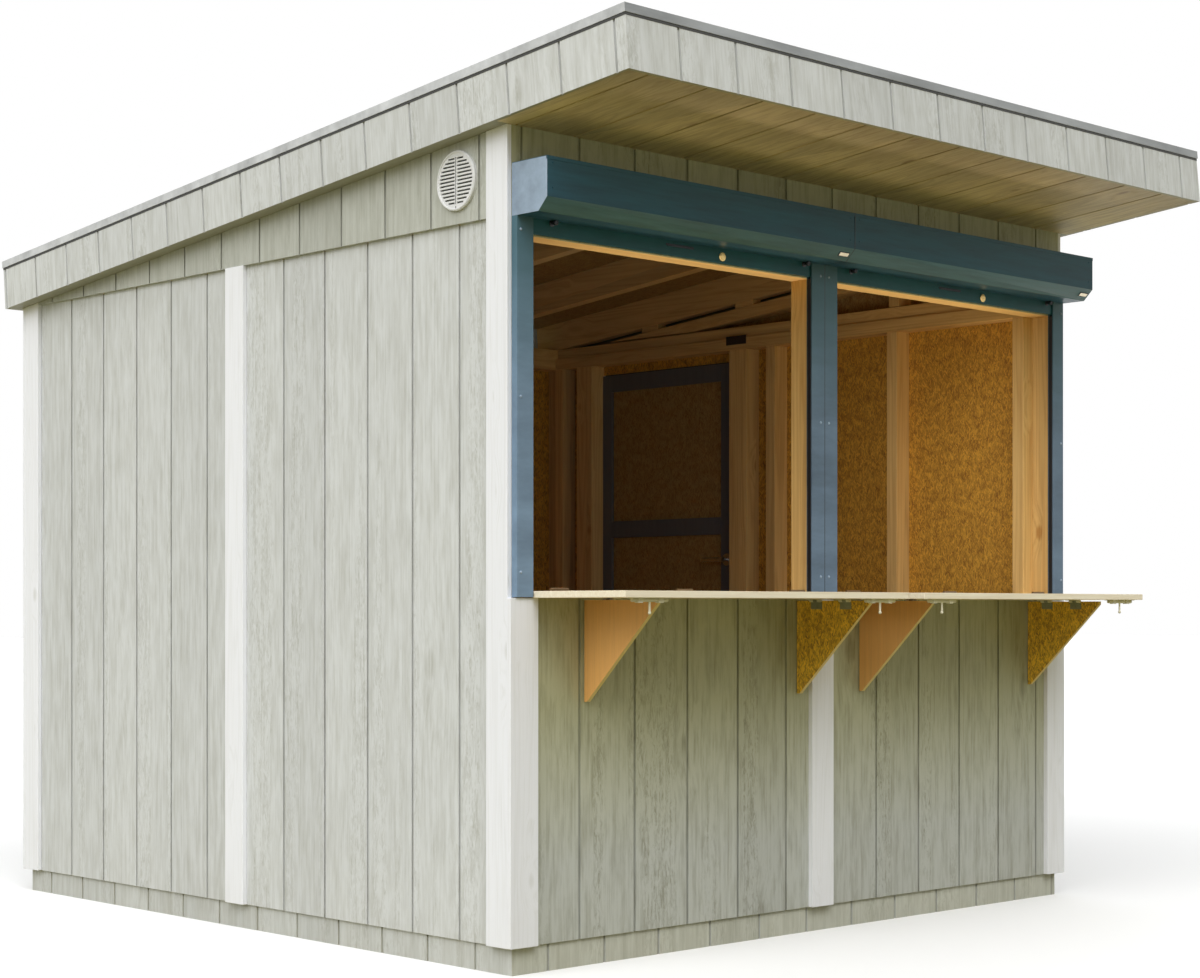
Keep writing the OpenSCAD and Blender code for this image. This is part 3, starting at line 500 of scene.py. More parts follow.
def make_strands():
    """Overlapping flakes of raw strand board, laid on whichever plane the surface faces."""
    tree, given, put = new_group(
        "Strands", [("Vector", "Vector", None), ("Normal", "Vector", None)], ("Tone", "Height"))
    place = parts_of(tree, given["Vector"])
    towards = parts_of(tree, vector_calc(tree, "ABSOLUTE", given["Normal"]))
    across = pick(tree, calc(tree, "GREATER_THAN", towards["X"], 0.5), place["X"], place["Y"])
    along = pick(tree, calc(tree, "GREATER_THAN", towards["Z"], 0.5), place["Z"], place["Y"])
    sheet = add(tree, "CombineXYZ", {"X": across, "Y": along}).outputs[0]
    tone = height = None
    for turn, long, wide in STRAND_LAYERS:
        turned_sheet = add(tree, "VectorRotate", {"Vector": sheet, "Angle": turn}, rotation_type="Z_AXIS")
        flakes = add(tree, "TexVoronoi", {
            "Vector": vector_calc(tree, "MULTIPLY", turned_sheet.outputs[0], (long, wide, 0.0)),
            "Scale": 1.0}, voronoi_dimensions="2D")
        shade = cell_shades(tree, flakes)
        rim = spread(tree, flakes.outputs["Distance"], 0.95, 0.35, 0.8, 1.0)
        flake = calc(tree, "MULTIPLY", shade[0], rim)
        if tone is None:
            tone, height = flake, shade[1]
        else:
            tone = pick(tree, calc(tree, "GREATER_THAN", shade[1], height), tone, flake)
            height = calc(tree, "MAXIMUM", height, shade[1])
    patches = spread(tree, noise(tree, sheet, 30.0, 3.0, 0.6), 0.3, 0.7, -0.2, 0.2)
    feed(tree, put["Tone"], calc(tree, "ADD", tone, patches))
    feed(tree, put["Height"], calc(tree, "MULTIPLY", height, tone))


def make_weather():
    """Soft uneven tone of outdoor surfaces, with dust that gathers towards the ground."""
    tree, given, put = new_group("Weather", [("Vector", "Vector", None)], ("Tone", "Dust"))
    place = given["Vector"]
    low = spread(tree, parts_of(tree, place)["Z"], DUST_TOP, 0.0)
    patches = streaked(tree, place, (9.0, 9.0, 5.0), 5.0, 0.65)
    feed(tree, put["Tone"], streaked(tree, place, (2.4, 2.4, 1.2), 4.0, 0.6))
    feed(tree, put["Dust"], calc(tree, "MULTIPLY", low, spread(tree, patches, 0.35, 0.75)))


def make_groups():
    """All shared effects."""
    make_wood_grain()
    make_board_split()
    make_strands()
    make_weather()


# Finishes

def new_material(name):
    """A new material: itself, its tree, its shader and the place on the object."""
    made = bpy.data.materials.new(name)
    made.use_nodes = True
    tree = made.node_tree
    return made, tree, tree.nodes["Principled BSDF"], add(tree, "TexCoord").outputs["Object"]


def finish(tree, shader, colour, roughness, height, depth, strength=0.6):
    """Colour, roughness and a bump whose depth is a length."""
    feed(tree, shader.inputs["Base Color"], colour)
    feed(tree, shader.inputs["Roughness"], roughness)
    made = add(tree, "Bump", {"Height": height, "Strength": strength, "Distance": depth})
    tree.links.new(made.outputs["Normal"], shader.inputs["Normal"])


def laid(tree, place, lay):
    """A place turned so that grain along Z runs along X or Y."""
    if lay not in LAYS:
        return place
    return add(tree, "Mapping", {"Vector": place, "Rotation": LAYS[lay]}).outputs[0]


def sunk(tree, value):
    """A bump height that goes down where the value goes up."""
    return calc(tree, "MULTIPLY", value, -1.0)


def grey_wood(tree, place, seed, strength):
    """Washed grey wood-grain paint: its colour and how deep its streaks lie."""
    grain = use_group(tree, "Wood grain", {"Vector": place, "Seed": seed, "Knot spacing": 2.6})
    streaks = spread(tree, grain["Streaks"], 0.36, 0.72)
    share = weighed(
        tree, (streaks, 0.30), (spread(tree, grain["Bands"], 0.35, 0.95), 0.14), (grain["Knots"], 0.35),
        (grain["Figure"], 2.2), (spread(tree, grain["Clouds"], 0.3, 0.7, -0.2, 0.3), 1.0))
    share = calc(tree, "MULTIPLY_ADD", calc(tree, "SUBTRACT", share, 0.25), strength, 0.25, clamp=True)
    return mix(tree, share, colours().siding, colours().siding_grain), streaks


def siding_material(name, across, start, tilt=0.0, strength=1.0):
    """Grooved siding: grain up the boards, a tone for each board, painted shade in the grooves and the run's
    tint, which on the gable and the end siding is painted shade.
    """
    made, tree, shader, level = new_material(name)
    place = level
    if tilt:
        place = add(tree, "VectorRotate", {"Vector": level, "Angle": tilt}, rotation_type="X_AXIS").outputs[0]
    parts = parts_of(tree, place)
    boards = use_group(tree, "Board split", {
        "Place": parts[across], "First": start + FIRST_GROOVES[name],
        "Pitch": sizes().groove_pitch, "Groove": sizes().groove_width})
    face, streaks = grey_wood(tree, place, boards["Random"], strength)
    weather = use_group(tree, "Weather", {"Vector": level})
    tone = calc(tree, "ADD", spread(tree, boards["Random"], 0.0, 1.0, 0.95, 1.04),
                spread(tree, weather["Tone"], 0.3, 0.7, -0.03, 0.03))
    face = shaded(tree, face, tone)
    # Tint: painted shade on the gable and on the end siding, darker and more olive towards the counters; a
    # plain darkening on the plinths.
    if name in TINTS:
        tint = mix(tree, spread(tree, parts["Z"], *SHADE_TINT_HEIGHTS), *TINTS[name])
        face = mix(tree, 1.0, face, tint, "MULTIPLY")
    # Painted shade: darker towards each groove's middle.
    face = mix(tree, calc(tree, "MULTIPLY", boards["Groove"], 0.4), face, GROOVE_SHADE_COLOUR)
    face = mix(tree, calc(tree, "MULTIPLY", weather["Dust"], 0.18), face, DUST_COLOUR)
    finish(tree, shader, face, spread(tree, streaks, 0.0, 1.0, 0.55, 0.7), sunk(tree, streaks), GRAIN_DEPTH)
    return made


def white_material():
    """White painted pine with faint grain and knots that show through."""
    made, tree, shader, place = new_material("white paint")
    island = add(tree, "NewGeometry").outputs["Random Per Island"]
    grain = use_group(tree, "Wood grain", {"Vector": place, "Seed": island, "Knot spacing": 4.5})
    weather = use_group(tree, "Weather", {"Vector": place})
    share = weighed(
        tree, (spread(tree, grain["Streaks"], 0.5, 0.85), 0.26), (grain["Knots"], 0.5),
        (spread(tree, grain["Bands"], 0.6, 1.0), 0.14), clamp=True)
    face = mix(tree, share, colours().trim, TRIM_GRAIN)
    face = mix(tree, calc(tree, "MULTIPLY", weather["Dust"], 0.16), face, TRIM_DUST_COLOUR)
    finish(tree, shader, face, spread(tree, weather["Tone"], 0.3, 0.7, 0.42, 0.55),
           sunk(tree, grain["Streaks"]), PAINT_DEPTH)
    return made


def pine_material(name, light, dark, lay="Z", painted_shade=None):
    """Planed pine with its grain along an axis and, if given, painted shade that darkens it towards the
    front.
    """
    made, tree, shader, place = new_material(name)
    island = add(tree, "NewGeometry").outputs["Random Per Island"]
    grain = use_group(tree, "Wood grain", {
        "Vector": laid(tree, place, lay), "Seed": island, "Knot spacing": 4.0})
    share = weighed(
        tree, (spread(tree, grain["Streaks"], 0.35, 0.75), 0.3),
        (spread(tree, grain["Bands"], 0.3, 1.0), 0.36), (grain["Knots"], 0.85), clamp=True)
    face = shaded(tree, mix(tree, share, light, dark), spread(tree, island, 0.0, 1.0, 0.86, 1.08))
    # Painted shade: darker towards the front between the soffit's depths.
    if painted_shade:
        depth = parts_of(tree, place)["Y"]
        face = shaded(tree, face, spread(tree, depth, *SOFFIT_SHADE_DEPTHS, 1.0, painted_shade))
    finish(tree, shader, face, spread(tree, grain["Streaks"], 0.3, 0.7, 0.5, 0.65),
           sunk(tree, grain["Streaks"]), GRAIN_DEPTH)
    return made


def strand_material(name, tint=(1.0, 1.0, 1.0), cut_edge=0.0):
    """Raw strand board, paler where it is cut."""
    made, tree, shader, place = new_material(name)
    strands = use_group(tree, "Strands", {"Vector": place, "Normal": place.node.outputs["Normal"]})
    light = tuple(part * by for part, by in zip(colours().strand, tint))
    face = mix(tree, spread(tree, strands["Tone"], -0.2, 1.0), colours().strand_dark, light)
    if cut_edge:
        face = mix(tree, cut_edge, face, CUT_EDGE)
    finish(tree, shader, face, spread(tree, strands["Height"], 0.0, 1.0, 0.62, 0.8),
           strands["Height"], STRAND_DEPTH)
    return made


def faced_material(name, light, dark, lay="Z", streak=0.35, roughness=0.55):
    """Smooth board facing with faint grain and no knots."""
    made, tree, shader, place = new_material(name)
    fine = streaked(tree, laid(tree, place, lay), (150.0, 150.0, 5.0))
    share = calc(tree, "MULTIPLY", spread(tree, fine, 0.3, 0.75), streak)
    finish(tree, shader, mix(tree, share, light, dark), roughness, fine, FACING_DEPTH)
    return made


def coated_material(name, colour, roughness=0.38, streaks=(3.0, 9.0, 9.0), top=None):
    """Satin coating on sheet: fine orange peel, an uneven tone and, if given, another colour towards the top,
    which is painted shade.
    """
    made, tree, shader, place = new_material(name)
    tone = spread(tree, streaked(tree, place, streaks, 5.0, 0.65), 0.3, 0.7)
    face = mix(tree, tone, toned(colour, 0.72), toned(colour, 1.2))
    # Painted shade: the top colour, mixed in towards the top.
    if top:
        height = parts_of(tree, place)["Z"]
        face = mix(tree, spread(tree, height, *RAIL_SHADE_HEIGHTS, 0.0, RAIL_SHADE_SHARE), face, top)
    shader.inputs["Specular IOR Level"].default_value = COAT_SHINE
    finish(tree, shader, face, spread(tree, tone, 0.0, 1.0, roughness - 0.05, roughness + 0.07),
           noise(tree, place, 900.0, 2.0), PEEL_DEPTH, 0.35)
    return made


def metal_material(name, colour, roughness=0.35, spangle=0.25):
    """Bare or galvanised metal with a crystal pattern and fine scratches."""
    made, tree, shader, place = new_material(name)
    cells = add(tree, "TexVoronoi", {"Vector": place, "Scale": 260.0})
    scratches = streaked(tree, place, (90.0, 900.0, 900.0), 2.0)
    face = mix(tree, cell_shades(tree, cells)[0], toned(colour, 1.0 - spangle), colour)
    shader.inputs["Metallic"].default_value = 1.0
    finish(tree, shader, face, spread(tree, scratches, 0.3, 0.7, roughness - 0.08, roughness + 0.1),
           scratches, SCRATCH_DEPTH, 0.3)
    return made


def plain_material(name, colour, roughness=0.5, grit=0.1, scale=400.0):
    """Moulded or felted stuff: one colour with a fine uneven grit."""
    made, tree, shader, place = new_material(name)
    fine = noise(tree, place, scale, 3.0)
    share = spread(tree, fine, 0.3, 0.7)
    finish(tree, shader, mix(tree, share, toned(colour, 1.0 - grit), toned(colour, 1.0 + grit)),
           spread(tree, fine, 0.3, 0.7, roughness - 0.05, roughness + 0.05), fine, GRIT_DEPTH, 0.4)
    return made


# Dressing of the CAD nodes

def dress(material, *names):
    """A finish for whole CAD nodes."""
    for name in names:
        slots = NODES[name].data.materials
        slots.clear()
        slots.append(material)


def dress_faces(material, chosen, *names):
    """A finish for the faces of CAD nodes whose normal and centre pass a test."""
    for name in names:
        mesh = NODES[name].data
        mesh.materials.append(material)
        for face in mesh.polygons:
            if chosen(face.normal, face.center):
                face.material_index = len(mesh.materials) - 1


def faces_inward(axis):
    """A test for faces that look across an axis towards the hut's middle."""
    return lambda normal, centre: normal[axis] * centre[axis] < 0 and abs(normal[axis]) > SQUARE


def faces_end(normal, centre):
    """Whether a face looks to the front or the rear."""
    return abs(normal.y) > SQUARE


def faces_down(normal, centre):
    """Whether a face looks down."""
    return normal.z < -SQUARE


def faces_chamfer(normal, centre):
    """Whether a face looks both to the front and down."""
    return max(normal.y, normal.z) < -CHAMFER_TILT


def solids(mesh):
    """Lists of the faces of each solid of a mesh, which share corner places."""
    leader = {}

    def find(key):
        while leader.setdefault(key, key) != key:
            leader[key] = leader[leader[key]]
            key = leader[key]
        return key

    corners = [tuple(round(part, 5) for part in corner.co) for corner in mesh.vertices]
    for face in mesh.polygons:
        first = find(corners[face.vertices[0]])
        for index in face.vertices[1:]:
            leader[find(corners[index])] = first
    groups = {}
    for face in mesh.polygons:
        groups.setdefault(find(corners[face.vertices[0]]), []).append(face)
    return groups.values()


def reach(mesh, faces):
    """The lowest and highest X, Y and Z of some faces."""
    places = [mesh.vertices[index].co for face in faces for index in face.vertices]
    return [(min(parts), max(parts)) for parts in zip(*places)]


def dress_timber(materials, *names):
    """Grain along each timber: one material each for lengths along X, Y and Z."""
    for name in names:
        mesh = NODES[name].data
        mesh.materials.clear()
        for material in materials:
            mesh.materials.append(material)
        for faces in solids(mesh):
            lengths = [high - low for low, high in reach(mesh, faces)]
            for face in faces:
                face.material_index = lengths.index(max(lengths))


def soften(width, *names):
    """Small rounds on the sharp edges of CAD nodes, which keep their size."""
    for name in names:
        join = NODES[name].modifiers.new("Join", "WELD")
        join.merge_threshold = WELD_REACH
        made = NODES[name].modifiers.new("Edges", "BEVEL")
        made.width = width
        made.segments = 2
        made.limit_method = "ANGLE"
        made.angle_limit = SHARP


# Mesh pieces

def piece(name, mesh_maker, material, body):
    """A new mesh piece in the hut's frame that rides on a body."""
    mesh = bpy.data.meshes.new(name)
    bm = bmesh.new()
    mesh_maker(bm)
    bmesh.ops.recalc_face_normals(bm, faces=bm.faces)
    bm.to_mesh(mesh)
    bm.free()
    made = bpy.data.objects.new(name, mesh)
    bpy.context.scene.collection.objects.link(made)
    mesh.materials.append(material)
    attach(made, body)


def turned(bm, profile, place, segments=24):
    """A turned solid from (radius, height) pairs along the place's Z axis."""
    rings = []
    angles = [2 * math.pi * step / segments for step in range(segments)]
    for radius, height in profile:
        if radius == 0:
            rings.append([bm.verts.new(place @ Vector((0, 0, height)))])
            continue
        rings.append([bm.verts.new(place @ Vector((radius * math.cos(a), radius * math.sin(a), height)))
                      for a in angles])
    for low, high in zip(rings, rings[1:]):
        for step in range(segments):
            nearby = (step + 1) % segments
            corners = [low[step % len(low)], low[nearby % len(low)],
                       high[nearby % len(high)], high[step % len(high)]]
            bm.faces.new(list(dict.fromkeys(corners)))


def slab(bm, low, high, edge=0.0):
    """A box between two corners with its edges taken off."""
    made = bmesh.ops.create_cube(bm, size=1.0)["verts"]
    middle = (Vector(low) + Vector(high)) / 2
    spans = Vector(high) - Vector(low)
    for corner in made:
        corner.co = Vector(part * span for part, span in zip(corner.co, spans)) + middle
    if edge:
        edges = list({line for corner in made for line in corner.link_edges})
        bmesh.ops.bevel(bm, geom=edges, offset=edge, segments=2, profile=0.5, affect="EDGES")


def move(bm, place):
    """Put all of a mesh in a place."""
    bmesh.ops.transform(bm, matrix=place, verts=bm.verts)


def facing(point, normal):
    """A place at a point whose Z axis runs along a normal."""
    return Matrix.Translation(point) @ Vector(normal).to_track_quat("Z", "Y").to_matrix().to_4x4()


def rivet(bm, radius, point, normal, segments):
    """A low rounded head on a surface."""
    head = [(radius * out, radius * up) for out, up in RIVET_SHARES]
    turned(bm, [(0, -SEAT), (radius, -SEAT), *head], facing(point, normal), segments)


def fit_screws(name, material, body, node, out, away):
    """Screw heads on a node's hinge leaves, which face outwards and lie away from the pin."""
    def build(bm):
        mesh = NODES[node].data
        for faces in solids(mesh):
            point = [0.0, 0.0, 0.0]
            for axis, (low, high) in enumerate(reach(mesh, faces)):
                if out[axis]:
                    point[axis] = low + HINGE_LEAF if out[axis] > 0 else high - HINGE_LEAF
                elif away[axis]:
                    width = high - low
                    inset = SCREW_ROW_SHARE * width
                    point[axis] = high - inset if away[axis] > 0 else low + inset
                else:
                    along, start, length = axis, low, high - low
            for share in SCREW_SHARES:
                point[along] = start + share * length
                rivet(bm, SCREW_RADIUS_SHARE * width, point, out, 14)
    piece(name, build, material, body)


class HUT_OT_siding(bpy.types.Operator):
    """Finish the grooved siding, the fascias and the plinth"""

    bl_idname = "hut.siding"
    bl_label = "Siding"

    def execute(self, context):
        raw = strand_material("strand board")
        # Painted shade: the darker, bluer strand board for the door's inner face, the gable's inner face and
        # the roof deck.
        dim = strand_material("strand board painted shade", SHADED_STRAND_TINT)
        sides = ("left_siding", "right_siding")
        ends = ("front_siding", "front_upper_siding")
        dress(siding_material("side siding", "Y", SIDE_LOW.y), *sides, "door_leaf")
        dress(siding_material("gable siding", "Y", SIDE_LOW.y), "gable_siding")
        dress(siding_material("end siding", "X", FRONT_LOW.x, strength=END_STRENGTH), *ends)
        dress(siding_material("rear siding", "X", FRONT_LOW.x), "rear_siding")
        dress_faces(raw, faces_inward(0), *sides)
        dress_faces(raw, faces_inward(1), "rear_siding", *ends)
        dress_faces(dim, faces_inward(0), "door_leaf", "gable_siding")
        dress(siding_material("side plinth", "Y", PLINTH_LOW.y), "plinth_boards")
        dress_faces(siding_material("end plinth", "X", PLINTH_LOW.x), faces_end, "plinth_boards")
        tilt = sizes().roof_slope
        eaves_y = SIDE_HIGH.y * math.cos(tilt) - SIDE_HIGH.z * math.sin(tilt)
        dress(siding_material("side fascia", "Y", eaves_y, tilt), "fascia_boards")
        dress_faces(siding_material("end fascia", "X", FASCIA_LOW.x, tilt), faces_end, "fascia_boards")
        dress(raw, "floor_deck")
        dress(dim, "roof_deck")
        return {"FINISHED"}


class HUT_OT_trim(bpy.types.Operator):
    """Paint the white boards, finish the vent and fit its rim and marks"""

    bl_idname = "hut.trim"
    bl_label = "White trim and vent"

    def execute(self, context):
        boards = ("left_trim", "right_trim", "rear_trim", "front_trim")
        dress(white_material(), *boards)
        soften(sizes().edge_round, *boards)
        plastic = plain_material("vent plastic", (0.70, 0.705, 0.71), 0.4, 0.04)
        # Dark colour for the slit bottoms, painted shade of the hollows behind the slits, and for the dark
        # marks.
        dark = plain_material("vent dark marks and painted slit shade", (0.05, 0.05, 0.048), 0.7)
        low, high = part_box("vent_grille")
        slits = low.x + VENT_SLIT_DEPTH
        dress(plastic, "vent_grille")
        dress_faces(dark, lambda normal, centre: normal.x < -SQUARE and centre.x > slits, "vent_grille")
        self.fit_vent(low, high, plastic, dark)
        return {"FINISHED"}

    def fit_vent(self, low, high, plastic, dark):
        """The vent's raised rim and its dark marks."""
        middle = (low + high) / 2
        radius = (high.z - low.z) / 2
        face = facing((low.x, middle.y, middle.z), (-1, 0, 0))

        def build_rim(bm):
            turned(bm, [(radius - inset, height) for inset, height in VENT_RIM], face, 64)
        piece("vent_rim", build_rim, plastic, "hut")

        def build_marks(bm):
            for start, end in VENT_MARK_SHARES:
                slab(bm, (low.x - VENT_MARK_PROUD, middle.y - VENT_MARK_HALF, middle.z + start * radius),
                     (low.x + SEAT, middle.y + VENT_MARK_HALF, middle.z + end * radius))
        piece("vent_marks", build_marks, dark, "hut")


class HUT_OT_frames(bpy.types.Operator):
    """Finish the timber frames and fit the bare plate"""

    bl_idname = "hut.frames"
    bl_label = "Frames"

    def execute(self, context):
        timber = [pine_material("pine along " + lay, colours().pine, colours().pine_grain, lay)
                  for lay in "XYZ"]
        frames = ("left_wall_frame", "right_wall_frame", "rear_wall_frame", "front_wall_frame", "upper_frame",
                  "rafters", "floor_joists")
        dress_timber(timber, *frames)
        # Painted shade: a dark olive colour on the rafters' faces beyond the side walls and on the fascias'
        # undersides.
        eaves = faced_material("eaves painted shade", (0.34, 0.33, 0.24), (0.20, 0.19, 0.13), "Y")
        # Painted light: the downward faces of the rafters and the front frame take a paler orange, as if lit
        # from below.
        planed = pine_material("planed edges", UNDERSIDE_LIGHT_COLOUR, colours().pine, "X")
        dress_faces(planed, faces_down, "rafters", "front_wall_frame")
        dress_faces(eaves, lambda normal, centre: abs(centre.x) > -SIDE_LOW.x, "rafters")
        dress_faces(eaves, faces_down, "fascia_boards")
        soften(sizes().edge_round, *frames)
        self.fit_plate()
        return {"FINISHED"}

    def fit_plate(self):
        """A bare dark plate with two rivets."""
        wall_low, wall_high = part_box("right_wall_frame")
        face, top = wall_low.x, wall_high.z

        def build(bm):
            slab(bm, (face - PLATE_PROUD, PLATE_FRONT, top - PLATE_DROP),
                 (face + SEAT, PLATE_REAR, top + PLATE_RISE), STRIP_ROUND)
            for y in (PLATE_FRONT + PLATE_RIVET_INSET, PLATE_REAR - PLATE_RIVET_INSET):
                rivet(bm, PLATE_RIVET, (face - PLATE_PROUD, y, top - PLATE_RIVET_DROP), (-1, 0, 0), 12)
        dark = plain_material("dark plate", (0.03, 0.022, 0.016), 0.5)
        piece("bare_plate", build, dark, "hut")


class HUT_OT_roof(bpy.types.Operator):
    """Finish the roof covering, the metal edge and the soffit, and fit the felt's laps and a dark strip of
    painted shadow under the metal edge
    """

    bl_idname = "hut.roof"
    bl_label = "Roof"

    def execute(self, context):
        felt = plain_material("roof felt", (0.085, 0.088, 0.092), 0.85, 0.35, 260.0)
        dress(felt, "roof_covering")
        dress(coated_material("edge metal", (0.56, 0.575, 0.60), 0.36), "edge_trim")
        # Painted shade: a darker copy of the edge metal on the faces to the front and rear.
        dress_faces(coated_material("end edge metal painted shade", (0.33, 0.345, 0.365), 0.36), faces_end, "edge_trim")
        dress(pine_material("soffit boards", colours().soffit, (0.36, 0.25, 0.13), "Y", SOFFIT_PAINTED_SHADE),
              "front_soffit")
        self.fit_strips(felt)
        return {"FINISHED"}

    def fit_strips(self, felt):
        """Laps of the felt and a dark strip of painted shadow under the metal edge, in the roof's tilted
        axes.
        """
        slope = sizes().roof_slope
        along = Vector((0.0, math.cos(slope), -math.sin(slope)))
        up = Vector((0.0, math.sin(slope), math.cos(slope)))
        lip = min(corner.co.dot(up) for corner in NODES["edge_trim"].data.vertices)
        top = max(corner.co.dot(up) for corner in NODES["roof_covering"].data.vertices)
        runs = [corner.co.dot(along) for corner in NODES["fascia_boards"].data.vertices]
        tilted = Matrix((Vector((1.0, 0.0, 0.0)), along, up)).transposed().to_4x4()
        low, high = lip - SHADOW_STRIP_DROP, lip + SHADOW_STRIP_RISE
        side, front, rear = FASCIA_HIGH.x, min(runs), max(runs)

        def build_laps(bm):
            for share in LAP_SHARES:
                start = front + share * (rear - front)
                slab(bm, (-side + LAP_INSET, start, top - SEAT),
                     (side - LAP_INSET, start + LAP_WIDTH, top + LAP_RISE), LAP_ROUND)
            move(bm, tilted)
        piece("felt_laps", build_laps, felt, "hut")

        # A dark strip under the metal edge: painted shadow.
        def build_shadow_strip(bm):
            for x in (-side - SHADOW_STRIP_PROUD, side - SEAT):
                slab(bm, (x, front, low), (x + SHADOW_STRIP_PROUD + SEAT, rear, high), THIN_ROUND)
            for y in (front - SHADOW_STRIP_PROUD, rear - SEAT):
                slab(bm, (-side, y, low), (side, y + SHADOW_STRIP_PROUD + SEAT, high), THIN_ROUND)
            move(bm, tilted)
        seal = plain_material("edge painted shadow", (0.05, 0.05, 0.05), 0.7)
        piece("edge_shadow_strip", build_shadow_strip, seal, "hut")


class HUT_OT_door(bpy.types.Operator):
    """Finish the door's ledges, handles and hinges, and fit its head seal"""

    bl_idname = "hut.door"
    bl_label = "Door"

    def execute(self, context):
        dress(faced_material("black ledges", (0.13, 0.135, 0.14), (0.075, 0.078, 0.08)), "door_ledges")
        dress(metal_material("satin steel", (0.60, 0.60, 0.58), 0.3, 0.05), "door_handles")
        dress(metal_material("zinc", (0.62, 0.63, 0.62), 0.38), "door_hinge_leaves", "door_hinge_plates")
        soften(LEDGE_ROUND, "door_ledges")
        self.fit_seal()
        screw = metal_material("screw steel", (0.55, 0.55, 0.53), 0.35, 0.05)
        fit_screws("door_leaf_screws", screw, "door", "door_hinge_leaves", (1, 0, 0), (0, -1, 0))
        fit_screws("door_frame_screws", screw, "hut", "door_hinge_plates", (1, 0, 0), (0, 1, 0))
        return {"FINISHED"}

    def fit_seal(self):
        """The rubber seal that closes the seam over the door."""
        low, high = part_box("door_leaf")
        head = high.z + DOOR_GAP

        def build(bm):
            slab(bm, (low.x + HEAD_INSET, low.y, head - HEAD_BASE),
                 (high.x - HEAD_INSET, high.y, head + HEAD_SEAT), STRIP_ROUND)
            slab(bm, (low.x + HEAD_LIP_INSET, low.y, high.z + HEAD_CLEARANCE),
                 (high.x - HEAD_LIP_INSET, high.y, head - SEAT), LIP_ROUND)
        rubber = plain_material("seal rubber", (0.02, 0.02, 0.02), 0.6)
        piece("door_head_seal", build, rubber, "hut")


class HUT_OT_counters(bpy.types.Operator):
    """Finish the counters, sills, brackets and their steel fittings"""

    bl_idname = "hut.counters"
    bl_label = "Counters"

    def execute(self, context):
        boards = ("left_counter", "right_counter", "window_sills")
        dress(faced_material("counter board", colours().counter, (0.52, 0.34, 0.15), "X", 0.4, 0.42), *boards)
        edge = faced_material("counter edge", (0.86, 0.79, 0.63), (0.64, 0.52, 0.34), "X", 0.5)
        dress_faces(edge, lambda normal, centre: abs(normal.z) < EDGE_TILT, *boards)
        soften(sizes().edge_round, *boards)
        cream = coated_material("cream zinc", (0.80, 0.76, 0.60), 0.45)
        bronzed = coated_material("bronzed hinges", (0.17, 0.105, 0.05), 0.45)
        fittings = ("left_counter_fittings", "right_counter_fittings")
        counter_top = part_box("left_counter")[1].z - SEAT
        dress(bronzed, "sill_hinges")
        dress(cream, *fittings)
        dress_faces(bronzed, lambda normal, centre: centre.z > counter_top, *fittings)
        fit_screws("sill_screws", bronzed, "hut", "sill_hinges", (0, 0, 1), (0, 1, 0))
        self.finish_brackets()
        return {"FINISHED"}

    def finish_brackets(self):
        """Tan facing on one side, raw strands on the other and a sawn edge round them."""
        tan = faced_material("bracket facing", colours().bracket, (0.50, 0.24, 0.08))
        raw = strand_material("bracket strands", BRACKET_TINT)
        sawn = strand_material("bracket edge", cut_edge=CUT_EDGE_SHARE)
        steel = coated_material("hinge steel", (0.30, 0.31, 0.24), 0.4)
        for name, turn in BRACKET_TURNS.items():
            dress(sawn, name)
            dress_faces(tan, lambda normal, centre: normal.x * turn > SQUARE, name)
            dress_faces(raw, lambda normal, centre: normal.x * turn < -SQUARE, name)
            dress(steel, name + "_hinges")
            fit_screws(name + "_screws", steel, name, name + "_hinges", (-turn, 0, 0), (0, 0, -1))


